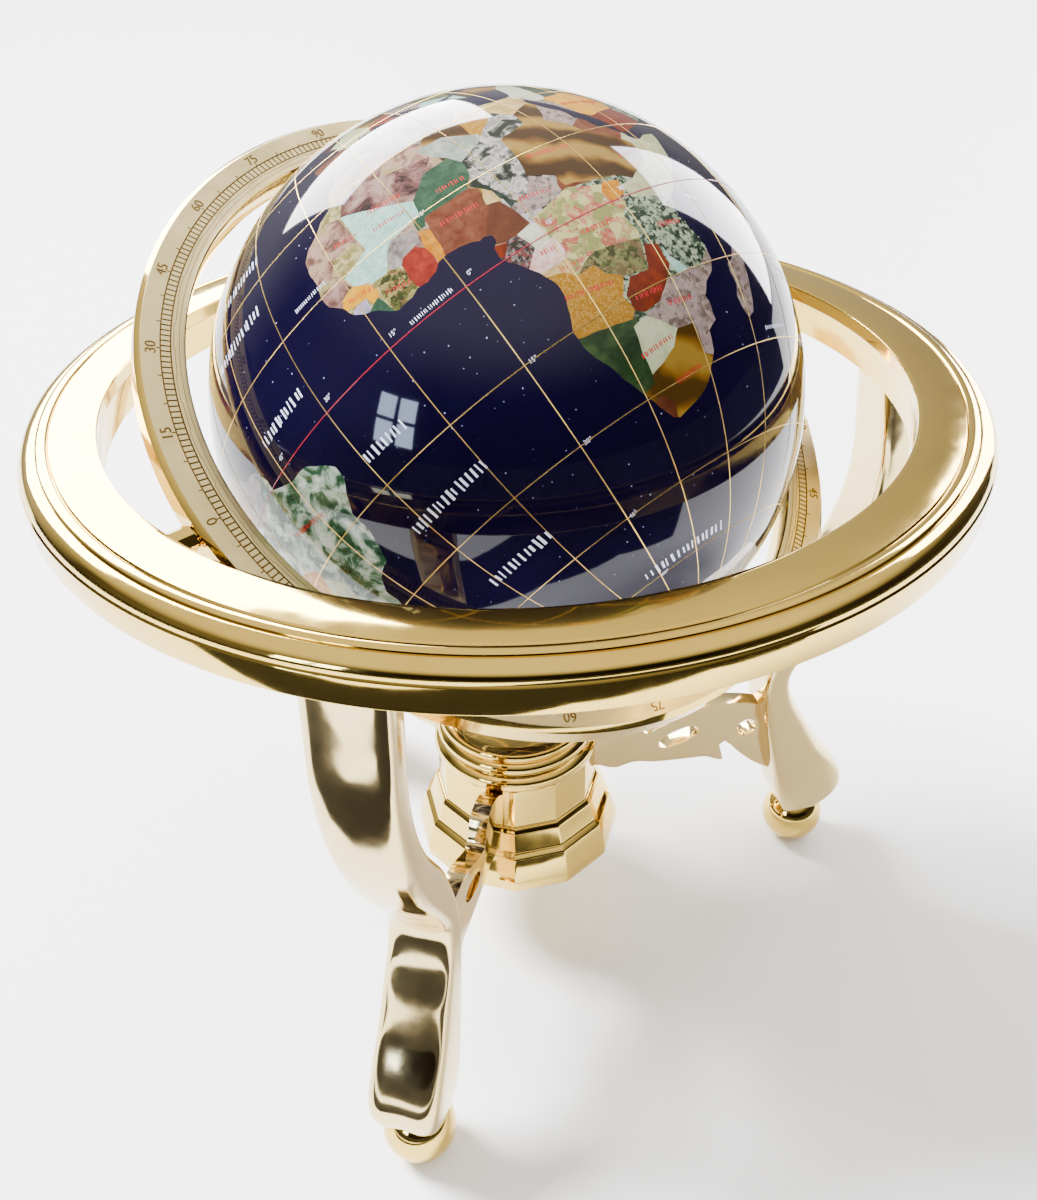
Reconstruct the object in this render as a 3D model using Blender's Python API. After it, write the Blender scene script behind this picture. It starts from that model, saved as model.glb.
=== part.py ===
"""Gemstone globe on a three-legged metal stand.

A stone-inlaid sphere turns on its polar axis inside a full meridian ring. The meridian ring
tilts on two pins inside a horizontal horizon ring. Three S-curved legs carry the horizon
ring, stand on ball feet and are tied to a stepped twelve-sided hub by pierced scroll plates.

Sizes are in millimetres and become metres where the meshes are made. +Z is up, the floor is
z = 0 and the stand's upright axis is the Z axis. The tilt pins lie along X.
"""

import bmesh
import bpy
from math import cos, pi, radians, sin, sqrt, tau
from mathutils import Matrix, Vector

MM = 0.001
SEAT_GAP = 0.3

# Globe and its polar axis
GLOBE_RADIUS = 110.0
GLOBE_SEGMENTS = 36
GLOBE_BANDS = 18
CENTRE_HEIGHT = 268.0
POLE_FROM_VERTICAL = radians(55.8)
PRIME_MERIDIAN_TURN = radians(34.5)

# Meridian ring, a full circle round the globe
MERIDIAN_GLOBE_CLEARANCE = 9.6
MERIDIAN_WIDTH = 17.0
MERIDIAN_THICKNESS = 11.6
MERIDIAN_FACE_CHAMFER = 2.0
MERIDIAN_EDGE_CHAMFER = 0.7
MERIDIAN_SEGMENTS = 72
MERIDIAN_INNER_RADIUS = GLOBE_RADIUS + MERIDIAN_GLOBE_CLEARANCE
MERIDIAN_OUTER_RADIUS = MERIDIAN_INNER_RADIUS + MERIDIAN_WIDTH

# Axis pins through the meridian ring into the globe's poles
AXIS_PIN_RADIUS = 3.0
AXIS_COLLAR_RADIUS = 5.4
AXIS_PIN_REACH = 6.0
AXIS_BORE_CLEARANCE = 0.6
AXIS_COLLAR_CLEARANCE = 0.6
PIN_SIDES = 10
DRILL_OVERRUN = 4.0

# Horizon ring, a flat moulded ring round the globe's middle
HORIZON_CLEARANCE = 11.9
HORIZON_WIDTH = 27.7
HORIZON_TOP_RISE = 9.4
HORIZON_INNER_DROP = 9.7
HORIZON_OUTER_DROP = 6.7
HORIZON_BAND_CROWN = 0.4
HORIZON_WALL_SETBACK = 0.8
HORIZON_LIP_HEIGHT = 5.4
HORIZON_LIP_BEVEL = 1.0
HORIZON_STEP_WIDTH = 0.5
HORIZON_BEAD_WIDTH = 4.1
HORIZON_BEAD_RISE = 0.9
HORIZON_GROOVE_DEPTH = 1.3
HORIZON_GROOVE_WIDTH = 0.6
HORIZON_ROLL_WIDTH = 5.7
HORIZON_ROLL_STEP = 0.6
HORIZON_SIDE_BAND_TOP = 2.6
HORIZON_SEGMENTS = 64
HORIZON_INNER_RADIUS = MERIDIAN_OUTER_RADIUS + HORIZON_CLEARANCE
HORIZON_OUTER_RADIUS = HORIZON_INNER_RADIUS + HORIZON_WIDTH
HORIZON_WALL_RADIUS = HORIZON_INNER_RADIUS + HORIZON_WALL_SETBACK

# Tilt pins from the horizon ring's inner wall into the meridian ring's rim
TILT_PIN_RADIUS = 3.0
TILT_COLLAR_RADIUS = 4.7
TILT_COLLAR_CLEARANCE = 1.0
TILT_COLLAR_SETBACK = 2.6
TILT_PIN_REACH = 7.0
TILT_BORE_CLEARANCE = 0.5
TILT_PIN_SIDES = 8

# Ball feet
FOOT_CIRCLE_RADIUS = 145.1
BALL_RADIUS = 14.9
BALL_FLAT_ANGLE = radians(78.0)
BALL_SOCKET_DEPTH = 1.5
BALL_SEGMENTS = 14
BALL_BANDS = 8
BALL_CENTRE_HEIGHT = BALL_RADIUS * sin(BALL_FLAT_ANGLE)

# Legs. Each level of the table is (share of the leg's height, sway outward from the straight
# line between the foot circle and the seat, depth, width), the last three as shares of
# LEG_WAIST_SWAY, LEG_DEPTH and LEG_WIDTH.
LEG_AZIMUTHS = {"back": radians(90.0), "left": radians(210.0), "right": radians(330.0)}
LEG_SEAT_INSET = 11.5
LEG_WAIST_SWAY = 27.4
LEG_DEPTH = 15.6
LEG_WIDTH = 29.0
LEG_SHAPE_SHARES = (
    (0.00, -0.015, 1.41, 0.88), (0.03, 0.044, 2.02, 0.96), (0.06, 0.026, 2.29, 1.00),
    (0.09, -0.044, 2.31, 1.02), (0.13, -0.197, 2.10, 1.01), (0.19, -0.467, 1.66, 0.98),
    (0.26, -0.715, 1.32, 0.95), (0.32, -0.912, 0.98, 0.92), (0.38, -1.000, 0.85, 0.90),
    (0.43, -0.891, 1.03, 0.90), (0.48, -0.708, 1.28, 0.91), (0.54, -0.467, 1.44, 0.93),
    (0.64, -0.051, 1.16, 0.96), (0.73, 0.150, 0.96, 0.99), (0.82, 0.190, 0.95, 1.00),
    (0.91, 0.095, 0.97, 1.01), (1.00, 0.000, 1.00, 1.02),
)
LEG_SWAY_SHARE, LEG_DEPTH_SHARE, LEG_WIDTH_SHARE = (
    tuple((level[0], level[column]) for level in LEG_SHAPE_SHARES) for column in (1, 2, 3)
)
LEG_SECTION_POINTS = 16
LEG_SECTION_POWER = 4.2
LEG_LEVELS = 18
LEG_LEVEL_CROWDING = 1.25
LEG_SEAT_RADIUS = HORIZON_INNER_RADIUS + LEG_SEAT_INSET
LEG_UNDERSIDE_HEIGHT = BALL_CENTRE_HEIGHT + BALL_RADIUS - BALL_SOCKET_DEPTH

# Hub: round moulded neck over a stepped twelve-sided body. Each step is (radius at the
# corners, distance below the hub's top, True where the outline is twelve-sided), the first
# two as shares of HUB_RADIUS and HUB_HEIGHT.
HUB_SIDES = 12
HUB_TOP_CLEARANCE = 13.4
HUB_RADIUS = 47.1
HUB_HEIGHT = 74.6
HUB_STEP_SHARES = (
    (0.648, 0.000, False), (0.713, 0.021, False), (0.726, 0.048, False), (0.692, 0.075, False),
    (0.747, 0.105, False), (0.747, 0.137, False), (0.713, 0.164, False), (0.781, 0.198, False),
    (0.781, 0.247, False), (0.764, 0.273, True), (0.769, 0.552, True), (0.820, 0.584, True),
    (0.870, 0.702, True), (0.926, 0.729, True), (1.000, 0.879, True), (1.000, 0.949, True),
    (0.921, 1.000, True),
)
HUB_TOP_HEIGHT = CENTRE_HEIGHT - MERIDIAN_OUTER_RADIUS - HUB_TOP_CLEARANCE

# Scroll plates from hub to leg. Outline points are (share of the span from hub to leg,
# distance below the hub's top as a share of HUB_HEIGHT), upper edge from hub to leg, lower
# edge back again. The slot and the eye are placed the same way.
PLATE_THICKNESS = 8.0
PLATE_UPPER_EDGE_SHARES = (
    (0.00, 0.308), (0.08, 0.236), (0.19, 0.214), (0.27, 0.276), (0.31, 0.378), (0.38, 0.373),
    (0.50, 0.308), (0.64, 0.257), (0.78, 0.252), (0.90, 0.276), (1.00, 0.314),
)
PLATE_LEG_EDGE_SHARES = (
    (1.00, 0.885), (0.91, 0.804), (0.85, 0.720), (0.80, 0.625), (0.765, 0.571),
)
PLATE_HUB_EDGE_SHARES = (
    (0.728, 0.595), (0.722, 0.727), (0.63, 0.676), (0.52, 0.662), (0.34, 0.638), (0.22, 0.606),
    (0.10, 0.625), (0.00, 0.563),
)
PLATE_SLOT_SHARES = (0.505, 0.464)
PLATE_EYE_SHARES = (0.905, 0.488)
PLATE_SLOT_HALF_LENGTH = 10.2
PLATE_SLOT_HALF_HEIGHT = 4.6
PLATE_SLOT_RISE = radians(17.0)
PLATE_EYE_RADIUS = 4.9
SLOT_POINTS = 16
EYE_POINTS = 12
LEG_EDGE_POINTS = 6
EDGE_SAMPLES = 2
LEG_SHARE_STEPS = 12

CENTRE = Vector((0.0, 0.0, CENTRE_HEIGHT))
POLAR_AXIS = Vector((0.0, sin(POLE_FROM_VERTICAL), cos(POLE_FROM_VERTICAL)))
RING_NORMAL = Vector((0.0, -cos(POLE_FROM_VERTICAL), sin(POLE_FROM_VERTICAL)))
TILT_AXIS = Vector((1.0, 0.0, 0.0))


def clear_scene():
    """Remove whatever objects the opened file holds."""
    for old in list(bpy.data.objects):
        bpy.data.objects.remove(old, do_unlink=True)


def metal(name, colour, roughness):
    """Polished plated metal."""
    finish = bpy.data.materials.new(name)
    finish.use_nodes = True
    shader = finish.node_tree.nodes["Principled BSDF"]
    shader.inputs["Base Color"].default_value = (*colour, 1.0)
    shader.inputs["Roughness"].default_value = roughness
    shader.inputs["Metallic"].default_value = 1.0
    return finish


def glossy(name, colour, roughness):
    """Polished non-metal."""
    finish = metal(name, colour, roughness)
    finish.node_tree.nodes["Principled BSDF"].inputs["Metallic"].default_value = 0.0
    return finish


def add_piece(name, mesh_builder, finish, placement=None, sharp_angle=32.0):
    """Turn a bmesh in millimetres into a named object in metres."""
    mesh = bpy.data.meshes.new(name)
    bmesh.ops.transform(mesh_builder, matrix=placement or Matrix.Identity(4), verts=mesh_builder.verts)
    bmesh.ops.scale(mesh_builder, vec=(MM, MM, MM), verts=mesh_builder.verts)
    bmesh.ops.recalc_face_normals(mesh_builder, faces=mesh_builder.faces)
    mesh_builder.to_mesh(mesh)
    mesh_builder.free()
    mesh.materials.append(finish)
    mesh.shade_smooth()
    mesh.set_sharp_from_angle(angle=radians(sharp_angle))
    piece = bpy.data.objects.new(name, mesh)
    bpy.context.scene.collection.objects.link(piece)
    return piece


def loft(loops):
    """Skin equal loops of points and cap both ends."""
    builder = bmesh.new()
    rings = [[builder.verts.new(point) for point in loop] for loop in loops]
    for lower, upper in zip(rings, rings[1:]):
        count = len(lower)
        for i in range(count):
            j = (i + 1) % count
            builder.faces.new((lower[i], lower[j], upper[j], upper[i]))
    builder.faces.new(list(reversed(rings[0])))
    builder.faces.new(rings[-1])
    return builder


def turned(profile, segments):
    """Turn a (radius, height) profile about Z; points at radius 0 close it at the poles."""
    builder = bmesh.new()
    rings = []
    for radius, height in profile:
        if radius == 0.0:
            rings.append([builder.verts.new((0.0, 0.0, height))])
            continue
        rings.append([
            builder.verts.new((radius * cos(tau * k / segments), radius * sin(tau * k / segments), height))
            for k in range(segments)
        ])
    open_ends = len(rings[0]) > 1
    pairs = list(zip(rings, rings[1:])) + ([(rings[-1], rings[0])] if open_ends else [])
    for first, second in pairs:
        for k in range(segments):
            n = (k + 1) % segments
            if len(first) == 1:
                builder.faces.new((first[0], second[n], second[k]))
            elif len(second) == 1:
                builder.faces.new((first[k], first[n], second[0]))
            else:
                builder.faces.new((first[k], first[n], second[n], second[k]))
    return builder


def smooth_value(table, share):
    """Read a (share, value) table along a smooth curve through its points."""
    last = len(table) - 1
    i = max(k for k in range(last) if table[k][0] <= share or k == 0)
    before, start, end, after = (table[max(0, min(last, k))] for k in (i - 1, i, i + 1, i + 2))
    width = end[0] - start[0]
    t = (share - start[0]) / width
    slope_in = (end[1] - before[1]) / (end[0] - before[0]) * width
    slope_out = (after[1] - start[1]) / (after[0] - start[0]) * width
    return (
        (2 * t**3 - 3 * t**2 + 1) * start[1] + (t**3 - 2 * t**2 + t) * slope_in
        + (3 * t**2 - 2 * t**3) * end[1] + (t**3 - t**2) * slope_out
    )


def frame_of(axis, reference, centre):
    """Placement whose Z is the axis and whose X is the reference direction."""
    side = axis.cross(reference)
    turn = Matrix((reference, side, axis)).transposed()
    return Matrix.Translation(centre) @ turn.to_4x4()


def drill(piece, start, direction, length, radius, name):
    """Cut a round bore in a piece with a hidden cutter."""
    cutter_mesh = turned(((0.0, 0.0), (radius, 0.0), (radius, length), (0.0, length)), PIN_SIDES)
    reference = direction.orthogonal().normalized()
    cutter = add_piece(name, cutter_mesh, piece.data.materials[0], frame_of(direction, reference, start))
    cut(piece, cutter)


def cut(piece, cutter):
    """Subtract a hidden cutter from a piece."""
    cutter.hide_render = True
    cutter.display_type = "WIRE"
    step = piece.modifiers.new(cutter.name, "BOOLEAN")
    step.operation = "DIFFERENCE"
    step.object = cutter


def horizon_underside(radius):
    """Height below the centre of the horizon ring's sloping underside."""
    share = (radius - HORIZON_INNER_RADIUS) / (HORIZON_OUTER_RADIUS - HORIZON_INNER_RADIUS)
    return HORIZON_INNER_DROP + share * (HORIZON_OUTER_DROP - HORIZON_INNER_DROP)


def horizon_profile():
    """Ring section, (radius, height over the centre), inside edge up, over and down."""
    top = HORIZON_TOP_RISE
    band_low = top - HORIZON_BAND_CROWN
    lip_low = top - HORIZON_LIP_HEIGHT
    roll_start = HORIZON_OUTER_RADIUS - HORIZON_ROLL_STEP - HORIZON_ROLL_WIDTH
    bead_end = roll_start - HORIZON_GROOVE_WIDTH
    bead_start = bead_end - HORIZON_BEAD_WIDTH
    band_end = bead_start - HORIZON_STEP_WIDTH
    bead_low = top - HORIZON_BEAD_RISE
    groove = top - HORIZON_GROOVE_DEPTH
    profile = [
        (HORIZON_WALL_RADIUS, -horizon_underside(HORIZON_WALL_RADIUS)),
        (HORIZON_WALL_RADIUS, lip_low - HORIZON_LIP_BEVEL),
        (HORIZON_INNER_RADIUS, lip_low),
        (HORIZON_INNER_RADIUS, band_low - HORIZON_LIP_BEVEL / 2),
        (HORIZON_INNER_RADIUS + HORIZON_LIP_BEVEL / 2, band_low),
        ((HORIZON_INNER_RADIUS + band_end) / 2, top),
        (band_end, band_low),
        (bead_start, bead_low),
    ]
    for k in (1, 2):
        angle = pi - pi * k / 3
        middle = (bead_start + bead_end) / 2
        reach = HORIZON_BEAD_WIDTH / 2 * cos(angle)
        profile.append((middle + reach, bead_low + HORIZON_BEAD_RISE * sin(angle)))
    profile.append((bead_end, groove))
    roll_low = HORIZON_SIDE_BAND_TOP + HORIZON_ROLL_STEP
    for k in range(5):
        angle = pi / 2 * (1 - k / 4)
        reach = HORIZON_ROLL_WIDTH * cos(angle)
        profile.append((roll_start + reach, roll_low + (groove - roll_low) * sin(angle)))
    profile += [
        (HORIZON_OUTER_RADIUS, HORIZON_SIDE_BAND_TOP),
        (HORIZON_OUTER_RADIUS, -horizon_underside(HORIZON_OUTER_RADIUS)),
    ]
    return profile


def make_horizon_ring(finish):
    """The moulded ring that the legs carry."""
    ring = turned(horizon_profile(), HORIZON_SEGMENTS)
    return add_piece("horizon_ring", ring, finish, Matrix.Translation(CENTRE))


def make_meridian_ring(finish):
    """The graduated ring, bored at the poles and at the tilt pins."""
    half = MERIDIAN_THICKNESS / 2
    edge = MERIDIAN_EDGE_CHAMFER
    face = MERIDIAN_FACE_CHAMFER
    section = (
        (MERIDIAN_INNER_RADIUS, -half + edge), (MERIDIAN_INNER_RADIUS, half - edge),
        (MERIDIAN_INNER_RADIUS + edge, half), (MERIDIAN_OUTER_RADIUS - face, half),
        (MERIDIAN_OUTER_RADIUS, half - face), (MERIDIAN_OUTER_RADIUS, -half + face),
        (MERIDIAN_OUTER_RADIUS - face, -half), (MERIDIAN_INNER_RADIUS + edge, -half),
    )
    placement = frame_of(RING_NORMAL, TILT_AXIS, CENTRE)
    ring = add_piece("meridian_ring", turned(section, MERIDIAN_SEGMENTS), finish, placement)
    for label, side in (("north", 1.0), ("south", -1.0)):
        start = CENTRE + POLAR_AXIS * side * (MERIDIAN_INNER_RADIUS - DRILL_OVERRUN)
        bore = AXIS_PIN_RADIUS + SEAT_GAP
        length = MERIDIAN_WIDTH + 2 * DRILL_OVERRUN
        drill(ring, start, POLAR_AXIS * side, length, bore, f"axis_bore_{label}")
    for label, side in (("left", -1.0), ("right", 1.0)):
        depth = TILT_PIN_REACH + TILT_BORE_CLEARANCE
        start = CENTRE + TILT_AXIS * side * (MERIDIAN_OUTER_RADIUS - depth)
        bore = TILT_PIN_RADIUS + TILT_BORE_CLEARANCE
        drill(ring, start, TILT_AXIS * side, depth + DRILL_OVERRUN, bore, f"tilt_bore_{label}")
    return ring


def make_globe(finish):
    """The inlaid sphere, with a short bore at each pole."""
    bore = AXIS_PIN_RADIUS + AXIS_BORE_CLEARANCE
    bore_end = GLOBE_RADIUS - AXIS_PIN_REACH - 2 * AXIS_BORE_CLEARANCE
    rim = sqrt(GLOBE_RADIUS**2 - bore**2)
    profile = [(0.0, -bore_end), (bore, -bore_end), (bore, -rim)]
    for k in range(1, GLOBE_BANDS):
        latitude = pi * k / GLOBE_BANDS - pi / 2
        profile.append((GLOBE_RADIUS * cos(latitude), GLOBE_RADIUS * sin(latitude)))
    profile += [(bore, rim), (bore, bore_end), (0.0, bore_end)]
    start_meridian = RING_NORMAL * cos(PRIME_MERIDIAN_TURN) - TILT_AXIS * sin(PRIME_MERIDIAN_TURN)
    placement = frame_of(POLAR_AXIS, start_meridian, CENTRE)
    return add_piece("globe", turned(profile, GLOBE_SEGMENTS), finish, placement)


def make_axis_pin(label, side, finish):
    """Pin through the meridian ring into one pole of the globe, flush with the ring's rim."""
    end = GLOBE_RADIUS - AXIS_PIN_REACH
    collar_start = GLOBE_RADIUS + AXIS_COLLAR_CLEARANCE
    collar_end = MERIDIAN_INNER_RADIUS - SEAT_GAP
    outer_end = MERIDIAN_OUTER_RADIUS - SEAT_GAP
    profile = (
        (0.0, end), (AXIS_PIN_RADIUS, end), (AXIS_PIN_RADIUS, collar_start),
        (AXIS_COLLAR_RADIUS, collar_start), (AXIS_COLLAR_RADIUS, collar_end),
        (AXIS_PIN_RADIUS, collar_end), (AXIS_PIN_RADIUS, outer_end), (0.0, outer_end),
    )
    placement = frame_of(POLAR_AXIS * side, TILT_AXIS, CENTRE)
    return add_piece(f"axis_pin_{label}", turned(profile, PIN_SIDES), finish, placement)


def make_tilt_pin(label, side, finish):
    """Pin with an eight-sided collar, from the horizon ring's wall into the meridian ring."""
    end = MERIDIAN_OUTER_RADIUS - TILT_PIN_REACH
    collar_start = MERIDIAN_OUTER_RADIUS + TILT_COLLAR_CLEARANCE
    collar_end = HORIZON_INNER_RADIUS - TILT_COLLAR_SETBACK
    wall = HORIZON_WALL_RADIUS * cos(pi / HORIZON_SEGMENTS) - SEAT_GAP
    profile = (
        (0.0, end), (TILT_PIN_RADIUS, end), (TILT_PIN_RADIUS, collar_start),
        (TILT_COLLAR_RADIUS, collar_start), (TILT_COLLAR_RADIUS, collar_end),
        (TILT_PIN_RADIUS, collar_end), (TILT_PIN_RADIUS, wall), (0.0, wall),
    )
    placement = frame_of(TILT_AXIS * side, Vector((0.0, 1.0, 0.0)), CENTRE)
    return add_piece(f"tilt_pin_{label}", turned(profile, TILT_PIN_SIDES), finish, placement)


def leg_reach(share, side):
    """Radius of the leg's outer (side 1), inner (side -1) or middle (side 0) line."""
    straight = FOOT_CIRCLE_RADIUS + (LEG_SEAT_RADIUS - FOOT_CIRCLE_RADIUS) * share
    half_depth = LEG_DEPTH / 2 * smooth_value(LEG_DEPTH_SHARE, share)
    sway = LEG_WAIST_SWAY * smooth_value(LEG_SWAY_SHARE, share)
    return straight + sway + side * half_depth


def leg_seat_height(radius):
    """Height of the leg's top face, just under the horizon ring."""
    return CENTRE_HEIGHT - horizon_underside(radius) - SEAT_GAP


def leg_height_at(share, radius):
    """Height over the floor of a leg point at a share of the leg's height."""
    return LEG_UNDERSIDE_HEIGHT + (leg_seat_height(radius) - LEG_UNDERSIDE_HEIGHT) * share


def leg_share_at(height):
    """Share of the leg's height at a height over the floor, on the leg's inner face."""
    share = 0.5
    for _ in range(LEG_SHARE_STEPS):
        span = leg_seat_height(leg_reach(share, -1)) - LEG_UNDERSIDE_HEIGHT
        share = (height - LEG_UNDERSIDE_HEIGHT) / span
    return share


def rounded_wave(angle, power):
    """Cosine flattened toward a square wave, for rounded-rectangle sections."""
    value = cos(angle)
    return abs(value) ** (2 / power) * (1 if value >= 0 else -1)


def make_leg(label, azimuth, finish):
    """S-curved leg with rounded-rectangle sections and a socket for its ball foot."""
    loops = []
    for level in range(LEG_LEVELS):
        share = (level / (LEG_LEVELS - 1)) ** LEG_LEVEL_CROWDING
        middle = leg_reach(share, 0)
        half_depth = leg_reach(share, 1) - middle
        half_width = LEG_WIDTH / 2 * smooth_value(LEG_WIDTH_SHARE, share)
        loop = []
        for k in range(LEG_SECTION_POINTS):
            angle = tau * k / LEG_SECTION_POINTS
            radial = middle + half_depth * rounded_wave(angle, LEG_SECTION_POWER)
            sideways = half_width * rounded_wave(angle - pi / 2, LEG_SECTION_POWER)
            loop.append(Vector((radial, sideways, leg_height_at(share, radial))))
        loops.append(loop)
    leg = add_piece(f"leg_{label}", loft(loops), finish, Matrix.Rotation(azimuth, 4, "Z"), 40.0)
    socket = ball_profile(BALL_RADIUS + SEAT_GAP)
    placement = Matrix.Rotation(azimuth, 4, "Z") @ ball_place()
    cut(leg, add_piece(f"socket_{label}", turned(socket, BALL_SEGMENTS), finish, placement))
    return leg


def ball_place():
    """Where a ball foot stands before it is turned to its leg."""
    return Matrix.Translation(Vector((FOOT_CIRCLE_RADIUS, 0.0, BALL_CENTRE_HEIGHT)))


def ball_profile(radius):
    """Sphere cut flat below."""
    profile = [(0.0, -radius * sin(BALL_FLAT_ANGLE))]
    for k in range(BALL_BANDS):
        angle = -BALL_FLAT_ANGLE + (pi / 2 + BALL_FLAT_ANGLE) * k / BALL_BANDS
        profile.append((radius * cos(angle), radius * sin(angle)))
    profile.append((0.0, radius))
    return profile


def make_ball_foot(label, azimuth, finish):
    """Ball foot with a small flat on the floor."""
    placement = Matrix.Rotation(azimuth, 4, "Z") @ ball_place()
    return add_piece(f"ball_foot_{label}", turned(ball_profile(BALL_RADIUS), BALL_SEGMENTS), finish, placement)


def hub_face_reach(drop):
    """Distance from the axis to a flat face of the hub, at a drop given as a share of its height."""
    for (upper_radius, upper, _), (lower_radius, lower, _) in zip(HUB_STEP_SHARES, HUB_STEP_SHARES[1:]):
        if upper <= drop <= lower:
            corner = upper_radius + (lower_radius - upper_radius) * (drop - upper) / (lower - upper)
            return HUB_RADIUS * corner * cos(pi / HUB_SIDES)


def make_hub(finish):
    """Central hub; a flat face looks at each leg."""
    first_corner = LEG_AZIMUTHS["back"] + pi / HUB_SIDES
    loops = []
    for corner, drop, sided in reversed(HUB_STEP_SHARES):
        radius = HUB_RADIUS * corner
        height = HUB_TOP_HEIGHT - HUB_HEIGHT * drop
        loop = []
        for k in range(2 * HUB_SIDES):
            angle = first_corner + pi * k / HUB_SIDES
            reach = radius * cos(pi / HUB_SIDES) if sided and k % 2 else radius
            loop.append(Vector((reach * cos(angle), reach * sin(angle), height)))
        loops.append(loop)
    return add_piece("hub", loft(loops), finish, sharp_angle=20.0)


def smooth_path(points, samples):
    """Points along a smooth curve through the given ones, without the last."""
    path = []
    last = len(points) - 1
    for i in range(last):
        before, start, end, after = (Vector(points[max(0, min(last, k))]) for k in (i - 1, i, i + 1, i + 2))
        for s in range(samples):
            t = s / samples
            path.append(
                ((2 * start) + (end - before) * t + (2 * before - 5 * start + 4 * end - after) * t**2
                 + (3 * start - before - 3 * end + after) * t**3) / 2
            )
    return path


def plate_point(share, drop):
    """Point of a scroll plate between the hub's face and the leg's inner face."""
    height = HUB_TOP_HEIGHT - HUB_HEIGHT * drop
    hub_end = hub_face_reach(drop) + SEAT_GAP
    leg_end = leg_reach(leg_share_at(height), -1) - SEAT_GAP
    return Vector((hub_end + (leg_end - hub_end) * share, height))


def plate_outline():
    """Outer edge of a scroll plate, as points (distance from the axis, height)."""
    points = smooth_path(PLATE_UPPER_EDGE_SHARES, EDGE_SAMPLES)
    leg_top = PLATE_UPPER_EDGE_SHARES[-1][1]
    leg_bottom = PLATE_LEG_EDGE_SHARES[0][1]
    for k in range(LEG_EDGE_POINTS):
        points.append(Vector((1.0, leg_top + (leg_bottom - leg_top) * k / LEG_EDGE_POINTS)))
    for edge in (PLATE_LEG_EDGE_SHARES, PLATE_HUB_EDGE_SHARES):
        points += smooth_path(edge, EDGE_SAMPLES)
        points.append(Vector(edge[-1]))
    return [plate_point(share, drop) for share, drop in points]


def plate_openings():
    """Slanted slot and round eye of a scroll plate."""
    slot_centre = plate_point(*PLATE_SLOT_SHARES)
    turn = Matrix.Rotation(PLATE_SLOT_RISE, 2)
    slot = []
    for k in range(SLOT_POINTS):
        angle = tau * k / SLOT_POINTS
        local = Vector((PLATE_SLOT_HALF_LENGTH * cos(angle), PLATE_SLOT_HALF_HEIGHT * sin(angle)))
        slot.append(slot_centre + turn @ local)
    eye_centre = plate_point(*PLATE_EYE_SHARES)
    eye = []
    for k in range(EYE_POINTS):
        angle = tau * k / EYE_POINTS
        eye.append(eye_centre + PLATE_EYE_RADIUS * Vector((cos(angle), sin(angle))))
    return [slot, eye]


def make_plate(label, azimuth, finish):
    """Pierced scroll plate that ties one leg to the hub."""
    builder = bmesh.new()
    edges = []
    for loop in [plate_outline()] + plate_openings():
        verts = [builder.verts.new((point.x, -PLATE_THICKNESS / 2, point.y)) for point in loop]
        edges += [builder.edges.new((a, b)) for a, b in zip(verts, verts[1:] + verts[:1])]
    bmesh.ops.triangle_fill(builder, edges=edges, use_beauty=True)
    raised = bmesh.ops.extrude_face_region(builder, geom=builder.faces[:])
    moved = [item for item in raised["geom"] if isinstance(item, bmesh.types.BMVert)]
    bmesh.ops.translate(builder, vec=(0.0, PLATE_THICKNESS, 0.0), verts=moved)
    return add_piece(f"scroll_plate_{label}", builder, finish, Matrix.Rotation(azimuth, 4, "Z"))


def build():
    """Make every piece."""
    clear_scene()
    bright = metal("bright_gold", (0.86, 0.72, 0.43), 0.12)
    pale = metal("pale_gold", (0.83, 0.78, 0.64), 0.14)
    make_globe(glossy("inlaid_globe", (0.012, 0.016, 0.11), 0.08))
    make_meridian_ring(metal("satin_gold", (0.80, 0.70, 0.46), 0.22))
    make_horizon_ring(bright)
    make_hub(bright)
    for label, side in (("north", 1.0), ("south", -1.0)):
        make_axis_pin(label, side, bright)
    for label, side in (("left", -1.0), ("right", 1.0)):
        make_tilt_pin(label, side, bright)
    for label, azimuth in LEG_AZIMUTHS.items():
        make_leg(label, azimuth, pale)
        make_ball_foot(label, azimuth, bright)
        make_plate(label, azimuth, pale)


build()
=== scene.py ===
# %% [markdown]
# A desk globe: a polished resin sphere with land cut from stone, turning in a graduated ring
# that tilts in a wide gold-plated ring on three curved legs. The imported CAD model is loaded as
# a fixed frame. Every finished piece here stands where its CAD node stands and rides on the
# same body, so the globe spins and tilts as the CAD model does.

# %% Load the frame
import bmesh
import bpy
from math import atan2, ceil, cos, degrees, exp, pi, radians, sin, sqrt, tau
from mathutils import Matrix, Vector
from mathutils.geometry import delaunay_2d_cdt
from mathutils.noise import noise_vector, seed_set


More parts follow.
